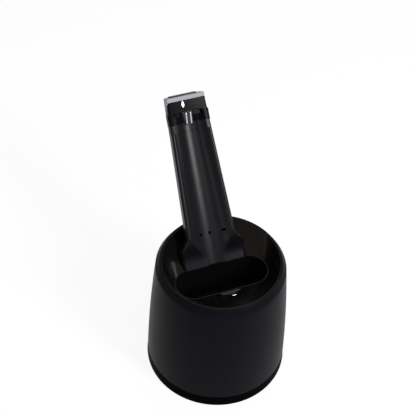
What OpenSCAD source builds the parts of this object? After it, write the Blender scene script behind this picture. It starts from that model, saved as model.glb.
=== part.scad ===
// Shaver cleaning station: a round base holds a cleaning cartridge, a housing with a bowl and a
// leaning tower lifts off it, and the tower carries the charging contacts for the shaver.
// Frame: +Z up, origin at the centre of the underside, the bowl and tower face -Y. Millimetres.

/* [Base] */
// Radius of the base ring at its top edge
base_r = 60; // [58:0.5:62]
// Height of the base ring above the table
base_h = 11; // [10:0.5:12]
// Thickness of the anti-slip pad
pad_h = 1; // [0.6:0.1:1.2]
// Thickness of the tray floor
floor_t = 3; // [2.5:0.1:3.2]
// Radius of the two steel guide rods
rod_r = 2.5; // [2.2:0.1:2.7]

/* [Housing] */
// How much narrower the housing is at the shoulder than at the base
taper = 6.2; // [5.8:0.1:6.6]
// How much the side bulges halfway up
side_bulge = 1; // [0.6:0.1:1.3]
// Height of the shoulder
shoulder_z = 115.5; // [115:0.5:116]
// Height of the rim band above the shoulder
rim_h = 6; // [5.5:0.1:6.5]
// Width of the rim band, seen from above
rim_band = 4.3; // [4:0.1:4.6]
// Wall thickness of the housing
wall = 2.4; // [2:0.1:2.6]
// Travel of the housing when it is unlocked and lifted
lift_travel = 26; // [20:1:26]

/* [Bowl] */
// Room between the basin's ends and the rim
basin_end = 10; // [9.5:0.5:12]
// Half width of the basin, front to back
basin_b = 15; // [14:0.1:15.4]
// Distance of the basin centre in front of the housing axis
basin_y = 3.5; // [3:0.1:4.5]
// Depth of the basin's edge under the rim
bowl_depth = 16.5; // [16:0.5:17.5]
// Height of the basin floor
basin_floor = 76; // [75:0.5:80]
// Radius of the drain
drain_r = 5; // [4:0.1:5.5]

/* [Tower] */
// Distance of the slots behind the housing axis
tower_y = 28; // [27.5:0.5:28.5]
// Angle that the tower leans back
lean = 38; // [36:0.5:40]
// Half width of the tower at the slots
tower_w0 = 20.8; // [20:0.1:21.5]
// Half width of the tower at its top
tower_w1 = 16; // [15.6:0.1:16.6]
// Half width of the tower's foot
foot_w = 26; // [24:0.5:27]
// Length of the tower above the slots
tower_len = 115.5; // [112:0.5:118]
// Depth of the tower behind the channel floor
tower_back_y = 11; // [10.5:0.1:12]
// Depth of the channel between the flanges
channel_d = 5; // [4.5:0.1:5.5]
// Radius of the channel's curve at the slots
channel_r0 = 32; // [31:0.5:34]
// Radius of the channel's curve at the head
channel_r1 = 21.5; // [21:0.5:23]
// Length of the head along the tower
head_h = 29; // [28:0.5:31]
// Height of the hood over the contacts
hood_h = 11; // [9:0.5:12]

/* [Cartridge] */
// Room between the cartridge and the lift springs
cart_room = 5.75; // [5.3:0.05:6.2]
// Corner radius of the cartridge's front
cart_nose_r = 30; // [26:1:32]
// Height of the cartridge
cart_h = 52; // [48:0.5:52.4]
// Wall thickness of the cartridge
cart_wall = 1.8; // [1.4:0.1:2.2]

/* [Pump and controls] */
// Distance of the pump's axis inside the rim
pump_in = 15.5; // [15:0.5:16]
// Radius of the pump motor
motor_r = 11.5; // [10.5:0.1:11.8]
// Outer radius of the delivery hose
hose_r = 3; // [2.6:0.1:3.2]
// Width of the lift button
lift_button_w = 24; // [20:0.5:26]
// Travel of the lift button
lift_button_travel = 3; // [2:0.1:3]
// Width of the start button
start_w = 23; // [20:0.5:23.5]
// Travel of the start button
start_travel = 1.2; // [0.8:0.1:1.3]

/* [Hidden] */
$fn = 96;
gap = 0.15;          // between fixed pieces
slack = 0.35;        // between moving pieces
fit = 0.05;          // radial clearance of a rod in a bore
eps = 0.01;
big = 300;

tray_z = pad_h;                        // underside of the tray
deck_z = tray_z + floor_t;             // top of the tray floor
shell_z = base_h + 0.4;                // lower edge of the housing
rim_z = shoulder_z + rim_h;            // height of the rim
basin_z = rim_z - bowl_depth;          // height of the basin's edge
shoulder_r = base_r - taper;           // where the rim band starts
waist_r = (base_r + shoulder_r) / 2 + side_bulge;
rim_r = shoulder_r - rim_band;         // inner radius of the rim
basin_a = rim_r - basin_end;           // half length of the basin, across the shaver head
rod_x = shoulder_r - 4.2;              // distance of each guide rod from the centre
spring_r = rod_r + 1;                  // mean radius of the lift springs
spring_wire = 0.45;                    // radius of their wire
tray_wall = 4.7;                       // thickness of the base ring
lip_h = 3;                             // height of the lip that the housing drops over
cart_z = deck_z + 0.3;                 // underside of the cartridge
cart_top = cart_z + cart_h;            // upper face of the cartridge
cart_r = base_r - 0.6;                 // radius of the cartridge's curved back
cart_w = rod_x - spring_r - spring_wire - cart_room;  // half width of the cartridge
cart_front = base_r - 14;              // distance of its front from the axis
grip_w = 42;                           // width of its finger grip
bay_w = cart_w + 3.1;                  // half width of the opening for the cartridge
bay_top = cart_top + 1.8;              // height of the opening in the housing
guide_x = cart_w + 0.8;                // inner faces of the strips that guide the cartridge
guide_y = 30;                          // where these strips start behind the axis
guide_z = base_h + lip_h + 0.4;        // their lower ends, above the base's lip
plate_z = cart_top + 3.8;              // underside of the chassis plate
plate_t = 2.5;
plate_r = waist_r - wall - 1.2;
rod_top = plate_z + lift_travel + 3.9;  // the rods still hold the lifted housing
plate_top = plate_z + plate_t;
sleeve_h = 16;                         // height of the sleeves that run on the rods
sleeve_wall = 1.7;
rail_t = 1.8;
rail_h = 7;
latch_z = plate_z + sleeve_h + 1.1;    // underside of the latch ring
latch_t = 1.5;
screw_r = 1.5;
thread_r = 1.2;                        // screw holes that the threads bite
boss_r = 3.2;
boss_angles = [180, 120, 240];         // azimuths of the chassis screws, from the back
boss_at = shoulder_r - 3.6;

tower_z = rim_z + 4.5;                 // height of the slots' line, on the channel floor
foot_z = basin_z + 0.1;                // level at which the tower stands on the bowl
foot_front = tower_y - (tower_z - foot_z) * tan(lean);
foot_back = foot_front + 17.5;
foot_block = 6;                        // height of the foot that is solid with the front shell
fade_z = -13;                          // where the flanges have run out, along the tower
back_r = 9;                            // radius of the tower's back corners
edge_r = 1.2;                          // radius of the flanges' edges
seam_y = 2.6;                          // where the tower's front and back shells meet
shell_t = 2;                           // wall of the tower shells
head_z = tower_len - head_h;           // where the head starts along the tower
cap_t = 1.6;                           // top plate of the silver cap
cap_wall = 1.1;                        // side walls of the silver cap
roof_z = tower_len - cap_t - gap - hood_h;  // underside of the hood

pump_y = rim_r - pump_in;              // distance of the pump behind the housing axis
pump_z = plate_top + 0.1;              // underside of the pump
pump_r = 11;
pump_h = 9.3;
chamber_r = 9;
motor_z = pump_z + pump_h + 0.1;
motor_h = basin_z - motor_z - 8.9;     // the motor ends under the bowl
shaft_r = 1;
hose_ring = pump_y + 8;                // radius at which the hose runs round the bowl
hose_z = pump_z + 4.7;
hose_bore = hose_r - 1;
hose_start = 24;                       // azimuth at which the hose leaves the pump's spigot
bend_r = 8;
inlet_z = hose_z + bend_r + 12 + bend_r;
inlet_x = -bend_r;
inlet_end = basin_y + basin_b - 1;     // where the hose ends in the basin's wall, in front of the axis

button_z = 86;                         // height of the lift button
button_h = 12;
dish_r = 26.4;                         // radius of its finger dish
socket_z = 70;                         // height of the power inlet
socket_w = 15;
socket_h = 9;
socket_back = side_r(socket_z) - 9.3;  // how far in the power inlet reaches
pin_r = 0.8;
pin_x = 3;
latch_r = side_r(latch_z) - wall - 1;  // outer radius of the latch ring
latch_w = 2.7;
shank_y = latch_r - latch_w + 0.05;    // place of the shank between ring and button
shank_t = 0.5;
board_x = rod_x - 5;                   // the main board lies between this and the drain
board_z = plate_top + 4;
board_w = 20;
board_y = -14;
board_l = 41;
board_t = 1.6;

plug_z = roof_z - 11.4;
plug_h = 11.4;
plug_y = 2;
plug_r0 = 4.1;
plug_r1 = 7;
plug_slope = atan((plug_r1 - plug_r0) / plug_h);
contact_x = 1.9;
contact_r = 0.85;
lip_r = 26;
basin_draft = 5;                       // how much the basin narrows down to its floor
lens_r = 1.5;
lens_up = 3.6;                         // reach of the light's upper and lower points
lens_down = 2.7;
start_y = 4.5;
start_d = 7;
start_proud = 1.5;
flange_t = 1.7;                        // depth of the start button's foot under the cap
slot_x = 10;
slot_w = 6.4;
cable_x = -7;
cable_w = 6;
cable_t = 0.9;
cable_in = 5.4;                        // depth of the cable behind the channel floor
cable_bend = foot_z + foot_block + 0.9;  // height at which it turns up into the tower
cable_y = tower_y + cable_in * cos(lean)
  + (cable_bend - tower_z + cable_in * sin(lean)) * tan(lean);
cable_way_r = 3.6;
foot_screw_x = 19;
foot_screw_y = foot_front + 9;
bar_w = 4.4;                           // the two bright bars of the sensor
bar_d = 1.1;
bar_h = 2;
bar_y = 1.5;
cradle_x = 1.5;
cradle_r = 13;                         // radius of the trough across the shaver
cradle_d = 2.3;                        // depth of the trough under the funnel's slope
cradle_l = 13;                         // length of the trough up the slope
cradle_tilt = atan((rim_z - 0.6 - basin_z) / (rim_r - gap - 1.6 - basin_y - basin_b - 0.8));

// ---- shared shapes ----------------------------------------------------------------------------

// Radius of the circle through three points of the housing's side, as a bulge on a straight taper
function side_r(z) = let (t = (z - shell_z) / (shoulder_z - shell_z),
    straight = base_r + (shoulder_r - base_r) * t,
    bulge = waist_r - (base_r + shoulder_r) / 2)
  straight + 4 * bulge * t * (1 - t);

side_steps = 12;
function side_line(inset, z0, z1) =
  [for (i = [0 : side_steps]) let (z = z0 + (z1 - z0) * i / side_steps) [side_r(z) - inset, z]];
function backwards(list) = [for (i = [len(list) - 1 : -1 : 0]) list[i]];

// Places its children in the tower's frame: z along the tower, y to its back
module on_tower() {
  translate([0, tower_y, tower_z]) rotate([-lean, 0, 0]) children();
}

function tower_w(z) = tower_w0 + (tower_w1 - tower_w0) * z / tower_len;

// One cross section of the tower in its own frame: flanges in front, round corners at the back
front_steps = 3;
back_steps = 9;
function corner(cx, cy, r, a0, steps) =
  [for (i = [0 : steps]) [cx + r * cos(a0 + 90 * i / steps), cy + r * sin(a0 + 90 * i / steps)]];
function section(w, front, back, r_front, r_back) = concat(
  corner(w - r_back, back - r_back, r_back, 0, back_steps),
  corner(-w + r_back, back - r_back, r_back, 90, back_steps),
  corner(-w + r_front, front + r_front, r_front, 180, front_steps),
  corner(w - r_front, front + r_front, r_front, 270, front_steps));
function tower_section(w, front, grow) =
  section(w + grow, front - grow, tower_back_y + grow, max(edge_r + grow, 0.2), back_r + grow);
function at_height(ring, z) = [for (p = ring) [p[0], p[1], z]];
function lean_back(p) =
  [p[0], tower_y + p[1] * cos(lean) + p[2] * sin(lean), tower_z - p[1] * sin(lean) + p[2] * cos(lean)];

// Skins a stack of rings that all have the same number of points, lowest ring first
module loft(rings) {
  n = len(rings[0]);
  m = len(rings);
  points = [for (ring = rings) each ring];
  sides = [for (k = [0 : m - 2], i = [0 : n - 1]) let (a = k * n + i, b = k * n + (i + 1) % n)
    each [[a, a + n, b], [b, a + n, b + n]]];
  lid = [for (i = [n - 1 : -1 : 0]) (m - 1) * n + i];
  polyhedron(points, concat([[for (i = [0 : n - 1]) i]], sides, [lid]));
}

// The tower's straight part between two heights along it
module tower_form(z0, z1, grow = 0) {
  loft([for (z = [z0, z1]) at_height(tower_section(tower_w(z), -channel_d, grow), z)]);
}

// Flange front and half width where the foot flares, t from 0 at the slots to 1 at fade_z
function flare_w(t) = tower_w0 + 1.8 * t * t;
function flare_front(t) = -channel_d + (channel_d - 0.9) * (3 * t * t - 2 * t * t * t);

// The tower's whole outer form down to its foot, in the part's frame
module tower_envelope(grow = 0) {
  foot_r = 5;
  foot_ring = section(foot_w + grow, foot_front - grow, foot_back + grow, foot_r / 2 + grow, foot_r + grow);
  flare = [for (t = [1, 0.75, 0.5, 0.25])
    [for (p = at_height(tower_section(flare_w(t), flare_front(t), grow), fade_z * t)) lean_back(p)]];
  straight = [for (z = [0, head_z])
    [for (p = at_height(tower_section(tower_w(z), -channel_d, grow), z)) lean_back(p)]];
  loft(concat([at_height(foot_ring, foot_z)], flare, straight));
}

// The concave channel down the tower's front; its deepest line is the tower's z axis
module channel_cut(z0, z1) {
  slope = atan((channel_r0 - channel_r1) / tower_len);
  intersection() {
    rotate([-slope, 0, 0]) translate([0, -channel_r0, -40])
      cylinder(r1 = channel_r0 + 40 * tan(slope), r2 = channel_r1, h = tower_len + 40, $fn = 120);
    translate([-50, -60, z0]) cube([100, 100, z1 - z0]);
  }
}

module at_azimuth(a, r) { rotate([0, 0, -a]) translate([0, r, 0]) children(); }

module rounded_bar(w, d, h, r) {
  translate([0, 0, h / 2]) union() {
    cube([w - 2 * r, d, h], center = true);
    cube([w, d - 2 * r, h], center = true);
    for (x = [-1, 1], y = [-1, 1])
      translate([x * (w / 2 - r), y * (d / 2 - r), 0]) cylinder(r = r, h = h, center = true, $fn = 32);
  }
}

// A coil spring along z, swept with flat ends of one diameter's straight run
spring_rings = 8;
spring_sides = 6;
function ring_points(c, out, up, r) = [for (j = [0 : spring_sides - 1])
  c + r * (cos(360 * j / spring_sides) * out + sin(360 * j / spring_sides) * up)];
module coil_spring(mean_r, wire_r, length, turns) {
  n = turns * spring_rings;
  pitch = (length - 2 * wire_r) / turns;
  echo(least_gap_between_turns = pitch - 2 * wire_r);
  rings = [for (i = [0 : n]) let (a = 360 * i / spring_rings)
    each ring_points([mean_r * cos(a), mean_r * sin(a), wire_r + pitch * i / spring_rings],
      [cos(a), sin(a), 0], [0, 0, 1], wire_r)];
  sides = [for (i = [0 : n - 1], j = [0 : spring_sides - 1])
    let (a = i * spring_sides + j, b = i * spring_sides + (j + 1) % spring_sides)
    each [[a, b, a + spring_sides], [b, b + spring_sides, a + spring_sides]]];
  first = [for (j = [1 : spring_sides - 2]) [0, j + 1, j]];
  end = n * spring_sides;
  last = [for (j = [1 : spring_sides - 2]) [end, end + j, end + j + 1]];
  polyhedron(rings, concat(sides, first, last));
}

// ---- base -------------------------------------------------------------------------------------

module ring_profile() {
  polygon([[0, tray_z], [base_r - 3.6, tray_z], [base_r - 1.8, tray_z + 0.6], [base_r - 1, tray_z + 2.2],
    [base_r, base_h - 1], [base_r, base_h], [base_r - wall - 0.3, base_h],
    [base_r - wall - 0.3, base_h + lip_h], [base_r - tray_wall, base_h + lip_h],
    [base_r - tray_wall, deck_z], [0, deck_z]]);
}

module base_tray() color("#0b0b0d") {
  difference() {
    union() {
      rotate_extrude($fn = 180) ring_profile();
      for (side = [-1, 1]) {
        translate([side * rod_x, 0, deck_z - eps]) cylinder(r = 4.2, h = 4);
        for (y = [-15, 22]) translate([side * (cart_w + 0.5 + rail_t / 2), y, deck_z + rail_h / 2])
          cube([rail_t, y < 0 ? 12 : 24, rail_h + eps], center = true);
      }
      // stops that the cartridge's nose meets
      for (side = [-1, 1]) translate([side * 14, -cart_front - 1.9, deck_z + rail_h / 2])
        cube([8, 2.8, rail_h + eps], center = true);
    }
    // the cartridge leaves through the back
    translate([-bay_w, base_r / 2, deck_z]) cube([2 * bay_w, base_r, 30]);
    for (side = [-1, 1]) translate([side * rod_x, 0, 0]) {
      cylinder(r = rod_r + fit, h = 20);
      cylinder(r = 3.1, h = tray_z + 1.5);
    }
  }
}

module base_pad() color("#141414") difference() {
  cylinder(r = base_r - 8, h = pad_h - 0.05, $fn = 120);
  for (side = [-1, 1]) translate([side * rod_x, 0, -eps]) cylinder(r = 3.6, h = pad_h + 1);
}

module guide_rods() color("silver") for (side = [-1, 1]) translate([side * rod_x, 0, 0]) difference() {
  union() {
    translate([0, 0, tray_z + 1.6]) cylinder(r = rod_r, h = rod_top - tray_z - 2.6);
    translate([0, 0, rod_top - 1.01]) cylinder(r1 = rod_r, r2 = rod_r - 0.8, h = 1, $fn = 48);
  }
  translate([0, 0, 2]) cylinder(r = 1, h = 8, $fn = 32);
}

module rod_screws() color("#8b8d90") for (side = [-1, 1]) translate([side * rod_x, 0, 0]) {
  difference() {
    translate([0, 0, tray_z + 0.1]) cylinder(r = 2.9, h = 1.4);
    translate([-1.8, -0.35, tray_z]) cube([3.6, 0.7, 0.7]);
    translate([-0.35, -1.8, tray_z]) cube([0.7, 3.6, 0.7]);
  }
  translate([0, 0, tray_z + 1.4]) cylinder(r = 0.95, h = 5.5, $fn = 32);
}

module lift_springs() color("#b9bcc0") for (side = [-1, 1])
  translate([side * rod_x, 0, deck_z + 4.2])
    coil_spring(spring_r, spring_wire, plate_z - deck_z - 4.4, 8);

// ---- housing ----------------------------------------------------------------------------------

module shell_profile() {
  inner_top = shoulder_z - 1.5;
  polygon(concat(side_line(0, shell_z, shoulder_z),
    [[shoulder_r - 1.7, shoulder_z + 2.9], [rim_r + 1.2, rim_z - 0.7], [rim_r + 0.5, rim_z], [rim_r, rim_z],
     [rim_r, shoulder_z + 0.6]],
    backwards(side_line(wall, shell_z, inner_top))));
}

module housing_shell() color("#26272b") difference() {
  union() {
    rotate_extrude($fn = 180) shell_profile();
    for (a = boss_angles) at_azimuth(a, boss_at) {
      translate([0, 0, plate_top + 0.1]) cylinder(r = boss_r, h = 30);
      translate([-1, 0, plate_top + 0.1])
        cube([2, side_r(plate_top + 30) - wall / 2 - boss_at, 30]);
    }
  }
  translate([-bay_w, 20, 0]) cube([2 * bay_w, base_r, bay_top]);
  for (a = boss_angles) at_azimuth(a, boss_at) translate([0, 0, plate_top])
    cylinder(r = thread_r, h = 14, $fn = 32);
  // windows for the lift button and the power inlet
  translate([0, base_r - 20, button_z]) rotate([-90, 0, 0])
    rounded_bar(lift_button_w + 2 * slack, button_h + 2 * slack, 30, 4 + slack);
  translate([0, base_r - 20, socket_z]) rotate([-90, 0, 0])
    rounded_bar(socket_w + 2 * gap, socket_h + 2 * gap, 30, 3 + gap);
}

// Strips inside the bay's edges that keep the cartridge straight
module bay_guides() color("#26272b") intersection() {
  for (side = [-1, 1]) translate([side * (guide_x + bay_w) / 2, guide_y + 15, (guide_z + bay_top) / 2])
    cube([bay_w - guide_x, 30, bay_top - guide_z], center = true);
  rotate_extrude($fn = 180)
    polygon(concat([[0, guide_z - 1]], side_line(0.1, guide_z - 1, bay_top + 1), [[0, bay_top + 1]]));
}

module basin_slice(grow, z, h) {
  for (side = [-1, 1]) translate([side * (basin_a - basin_b), -basin_y, z])
    cylinder(r = basin_b + grow, h = h, $fn = 64);
}

module bowl() color("#050506") {
  skin = 2.2;
  ring_r = rim_r - gap;
  ring_z = rim_z - 0.6;
  difference() {
    union() {
      // funnel from the rim ring down to the basin edge
      hull() {
        translate([0, 0, ring_z - 5]) cylinder(r = ring_r, h = 5, $fn = 120);
        basin_slice(skin + 3, basin_z - skin - 1.2, 1);
      }
      hull() {
        basin_slice(skin, basin_z - 3, 1);
        basin_slice(skin - basin_draft, basin_floor - skin, 1);
      }
      // platform that the tower stands on
      translate([-foot_w - 3, foot_front - 2, basin_z - 3.9])
        cube([2 * foot_w + 6, foot_back - foot_front + 6, 4]);
      translate([0, -basin_y, cart_top + 0.8]) cylinder(r = drain_r + 1.5, h = 20);
    }
    hull() {
      translate([0, 0, ring_z - 0.5]) cylinder(r = ring_r - 1.6, h = 1, $fn = 120);
      basin_slice(0.8, basin_z, 0.1);
    }
    hull() {
      basin_slice(0, basin_z - 0.4, 1.4);
      basin_slice(-basin_draft, basin_floor, 1);
    }
    // cradle at the front edge, where the shaver's nose lies
    on_cradle() translate([0, 6, cradle_r - cradle_d]) rotate([90, 0, 0])
      cylinder(r = cradle_r, h = 6 + cradle_l);
    translate([0, 0, -eps]) tower_envelope(gap);
    translate([0, -basin_y, 0]) cylinder(r = drain_r, h = basin_floor + 3);
    translate([inlet_x, -basin_y - 30, inlet_z]) rotate([-90, 0, 0])
      cylinder(r = hose_r + fit, h = 28, $fn = 48);
    // cable way and screw holes under the tower
    translate([cable_x, cable_y, basin_z - 10]) cylinder(r = cable_way_r, h = 20, $fn = 48);
    for (side = [-1, 1]) translate([side * foot_screw_x, foot_screw_y, basin_z - 10])
      cylinder(r = screw_r + 0.2, h = 20, $fn = 32);
    sensor_place() translate([0, 0, -1.2 - fit]) rounded_bar(7 + 2 * fit, 6.4 + 2 * fit, 8, 1.2);
  }
}

// Places its children on the funnel's front slope, z square to it
module on_cradle() {
  translate([cradle_x, -basin_y - basin_b - 0.8, basin_z]) rotate([-cradle_tilt, 0, 0]) children();
}
module sensor_place() { on_cradle() translate([0, -cradle_l + 4.2, -cradle_d]) children(); }

module sensor_window() color("#141518") sensor_place() difference() {
  translate([0, 0, -1.2]) rounded_bar(7, 6.4, 1.6, 1.2);
  for (y = [-bar_y, bar_y]) translate([0, y, 0.6])
    cube([bar_w + 2 * fit, bar_d + 2 * fit, bar_h + 2 * fit], center = true);
}

module sensor_bars() color("#d8dade") sensor_place() for (y = [-bar_y, bar_y])
  translate([0, y, 0.6]) cube([bar_w, bar_d, bar_h], center = true);

module bowl_seal() color("#101010") rotate_extrude($fn = 120)
  translate([rim_r + 0.55, shoulder_z - 1.15]) circle(r = 0.6, $fn = 24);

module chassis() color("#3a3d42") difference() {
  union() {
    translate([0, 0, plate_z]) cylinder(r = plate_r, h = plate_t, $fn = 120);
    for (side = [-1, 1]) translate([side * rod_x, 0, plate_z])
      cylinder(r = rod_r + fit + sleeve_wall, h = sleeve_h);
    // seats of the main board
    for (x = [2.5, board_w - 2.5], y = [2.5, board_l - 2.5])
      translate([x - board_x, board_y + y, plate_top - eps])
        cylinder(r = 2, h = board_z - plate_top, $fn = 32);
  }
  for (side = [-1, 1]) translate([side * rod_x, 0, 0]) cylinder(r = rod_r + fit, h = 200);
  for (a = boss_angles) at_azimuth(a, boss_at) cylinder(r = screw_r + 0.2, h = 100, $fn = 32);
  translate([0, -basin_y, 0]) cylinder(r = drain_r + 2.2, h = 100);
  translate([0, pump_y, 0]) cylinder(r = 5.2, h = 100);
}

module chassis_screws() color("#8b8d90") for (a = boss_angles) at_azimuth(a, boss_at) {
  translate([0, 0, plate_z - 1.5]) difference() {
    cylinder(r = 2.8, h = 1.45, $fn = 32);
    translate([-1.7, -0.35, -eps]) cube([3.4, 0.7, 0.7]);
    translate([-0.35, -1.7, -eps]) cube([0.7, 3.4, 0.7]);
  }
  translate([0, 0, plate_z - 0.1]) cylinder(r = 1.15, h = 14, $fn = 32);
}

// ---- tower ------------------------------------------------------------------------------------

module tower_front() color("#2a2c31") difference() {
  intersection() {
    tower_envelope();
    union() {
      on_tower() translate([-50, -50, -60]) cube([100, 50 + seam_y, 60 + head_z - gap]);
      translate([-big / 2, 0, foot_z]) cube([big, 60, foot_block]);
    }
  }
  on_tower() {
    channel_cut(-40, tower_len);
    for (side = [-1, 1]) translate([side * slot_x - slot_w / 2, -8, -1.1]) cube([slot_w, 20, 2.2]);
    rotate([90, 0, 0]) cylinder(r = 1.3, h = 20, center = true, $fn = 32);
  }
  for (side = [-1, 1]) translate([side * foot_screw_x, foot_screw_y, foot_z - 1])
    cylinder(r = thread_r, h = 6, $fn = 32);
  cable_way();
}

// The way for the cable through the tower's foot
module cable_way() {
  translate([cable_x, cable_y, foot_z - 1]) cylinder(r = cable_way_r, h = cable_bend + 1 - foot_z, $fn = 48);
  on_tower() translate([cable_x - cable_w / 2 - 0.4, cable_in - 0.8, -16])
    cube([cable_w + 0.8, cable_t + 1.6, 16]);
}

module tower_back() color("#1b1c1f") difference() {
  tower_envelope();
  on_tower() {
    tower_form(-8, head_z + 5, -shell_t);
    translate([-50, -50, -60]) cube([100, 50 + seam_y + gap, 300]);
    translate([-50, -50, head_z - gap]) cube([100, 100, 10]);
  }
  translate([-big / 2, 0, foot_z - 1]) cube([big, 60, foot_block + 1 + gap]);
  cable_way();
}

module tower_screws() color("#8b8d90") for (side = [-1, 1])
  translate([side * foot_screw_x, foot_screw_y, 0]) {
    translate([0, 0, basin_z - 5.4]) cylinder(r = 2.8, h = 1.45, $fn = 32);
    translate([0, 0, basin_z - 4.1]) cylinder(r = 1.15, h = 8.5, $fn = 32);
  }

module tower_cable() color("#2b2b2e") {
  run = head_z + 3 - (cable_bend - tower_z + cable_in * sin(lean)) / cos(lean);
  top_y = cable_y + run * sin(lean);
  top_z = cable_bend + run * cos(lean);
  translate([cable_x, 0, 0]) rotate([90, 0, 90]) linear_extrude(cable_w, center = true)
    polygon([[cable_y, basin_z - 8], [cable_y + cable_t, basin_z - 8],
      [cable_y + cable_t, cable_bend - cable_t * tan(lean / 2)],
      [top_y + cable_t * cos(lean), top_z - cable_t * sin(lean)],
      [top_y, top_z], [cable_y, cable_bend]]);
}

// What the silver cap covers, seen from the side: the top, and a wedge down the back
module cap_zone(grow = 0) {
  rotate([90, 0, 90]) linear_extrude(100, center = true)
    polygon([[-channel_d - 9, tower_len - cap_t - grow], [-channel_d, tower_len - cap_t - grow],
      [tower_back_y + 2, head_z - grow], [tower_back_y + 9, head_z - grow],
      [tower_back_y + 9, tower_len + 5], [-channel_d - 9, tower_len + 5]]);
}

module cap_core(inset) {
  tower_form(head_z - 5, tower_len - cap_t - (inset - cap_wall), -inset);
}

module head_cap() color("#b5b7bd") on_tower() difference() {
  intersection() {
    tower_form(head_z, tower_len);
    cap_zone();
  }
  cap_core(cap_wall);
  translate([0, start_y, tower_len - 5]) rounded_bar(start_w + 2 * slack, start_d + 2 * slack, 10, 2);
}

module head_shell() color("#08080a") on_tower() difference() {
  tower_form(head_z, tower_len - cap_t - gap);
  difference() {
    cap_zone(gap);
    cap_core(cap_wall + gap);
  }
  // the channel runs up under the hood, behind a curved lip
  channel_cut(head_z - 5, roof_z);
  translate([0, 0, roof_z - lip_r + 3.4]) rotate([90, 0, 0]) intersection() {
    cylinder(r = lip_r, h = 20, $fn = 96);
    translate([-channel_r1 / 2 - 2, lip_r - 8, 0]) cube([channel_r1 + 4, 10, 20]);
  }
  translate([0, plug_y, plug_z - gap]) cylinder(r1 = plug_r0 + gap, r2 = plug_r1 + gap, h = plug_h + 2 * gap);
  // room for the head board and the start button
  translate([-10.6, plug_y, head_z - 1]) cube([21.2, 6.4, 22]);
  translate([0, start_y, tower_len - cap_t - flange_t - start_travel - slack])
    rounded_bar(start_w + 2, start_d + 1.6, 20, 2);
  status_place() drop(1.2, gap);
}

module head_board() color("#1f5a35") on_tower() {
  translate([-9.5, 6.4, head_z + 0.5]) cube([19, 1.6, 18]);
  translate([-3, 4.6, head_z + 15]) cube([6, 1.85, 3]);
}

module status_place() { translate([-3.3, -channel_d, roof_z + hood_h - 0.4 - lens_up]) children(); }

// A drop that is pointed at both ends, with its longer point up
module drop(h, grow = 0) {
  r = lens_r + grow;
  rotate([90, 0, 0]) linear_extrude(h, center = true) {
    circle(r = r, $fn = 48);
    for (tip = [lens_up + grow, -lens_down - grow]) let (a = acos(r / abs(tip)), side = sign(tip))
      polygon([[r * sin(a), side * r * cos(a)], [0, tip], [-r * sin(a), side * r * cos(a)]]);
  }
}

module status_lens() color("#f2f5ff") on_tower() status_place() translate([0, 0.25, 0]) drop(0.7);

// Places its children on the plug's front line, side -1 left or 1 right
module contact_place(side) {
  translate([side * contact_x, plug_y - (plug_r0 + plug_r1) / 2 + 0.6, plug_z + plug_h / 2])
    rotate([plug_slope, 0, 0]) children();
}

module contact_plug() color("#0c0c0e") on_tower() difference() {
  intersection() {
    translate([0, plug_y, plug_z]) cylinder(r1 = plug_r0, r2 = plug_r1, h = plug_h);
    translate([-20, -20, 0]) cube([40, 20 + plug_y - gap, 200]);
  }
  for (side = [-1, 1]) contact_place(side)
    translate([-contact_r - 0.2, -3, -5.3]) cube([2 * contact_r + 0.4, 5.2, 10.6]);
}

module contact(side) color("#d8dade") on_tower() contact_place(side) translate([0, 0, -5]) {
  cylinder(r = contact_r, h = 10, $fn = 48);
  translate([-0.4, 0, 0]) cube([0.8, 1.3, 10]);
}
module contact_left() contact(-1);
module contact_right() contact(1);

module start_button() color("#0a0a0c") on_tower() translate([0, start_y, 0]) {
  translate([0, 0, tower_len - cap_t - 0.3]) rounded_bar(start_w, start_d, cap_t + 0.3 + start_proud, 2);
  translate([0, 0, tower_len - cap_t - flange_t]) rounded_bar(start_w + 1.2, start_d + 1, 1.42, 2);
}

// ---- pump, hose and electrics -------------------------------------------------------------------

module pump_body() color("#d9d9d4") difference() {
  union() {
    translate([0, pump_y, pump_z]) cylinder(r = pump_r, h = pump_h - 1.6);
    // spigot, an arc of the ring that the hose follows
    rotate([0, 0, 90 - hose_start]) rotate_extrude(angle = hose_start - 8, $fn = 120)
      translate([hose_ring, hose_z]) circle(r = hose_r, $fn = 48);
    // suction nozzle down through the chassis
    translate([0, pump_y, cart_top + 2.2]) cylinder(r = 4.8, h = pump_z - cart_top - 2);
  }
  translate([0, pump_y, pump_z + 1.6]) cylinder(r = chamber_r, h = pump_h);
  translate([0, pump_y, 0]) cylinder(r = 2.2, h = pump_z + 5);
  rotate([0, 0, 90 - hose_start - 1]) rotate_extrude(angle = hose_start - 9, $fn = 120)
    translate([hose_ring, hose_z]) circle(r = hose_bore - 0.4, $fn = 48);
}

module pump_cover() color("#c9c9c4") translate([0, pump_y, pump_z + pump_h - 1.6 + 0.02]) difference() {
  cylinder(r = pump_r, h = 1.5);
  translate([0, 0, -eps]) cylinder(r = shaft_r + fit, h = 3, $fn = 48);
}

module pump_motor() color("#a5a8ad") translate([0, pump_y, motor_z]) difference() {
  union() {
    cylinder(r = motor_r, h = motor_h);
    translate([0, 0, motor_h - eps]) cylinder(r = 4, h = 2);
    for (side = [-1, 1]) translate([side * 7 - 0.4, -1.5, motor_h - eps]) cube([0.8, 3, 3]);
  }
  translate([0, 0, -eps]) cylinder(r = shaft_r + fit, h = 8, $fn = 48);
  // vents in the can
  for (a = [0 : 120 : 359]) rotate([0, 0, a + 90]) translate([motor_r - 0.6, -3, 8]) cube([2, 6, 5]);
}

module pump_shaft() color("silver") translate([0, pump_y, pump_z + 2.6])
  cylinder(r = shaft_r, h = motor_z + 7 - pump_z - 2.6, $fn = 48);

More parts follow.
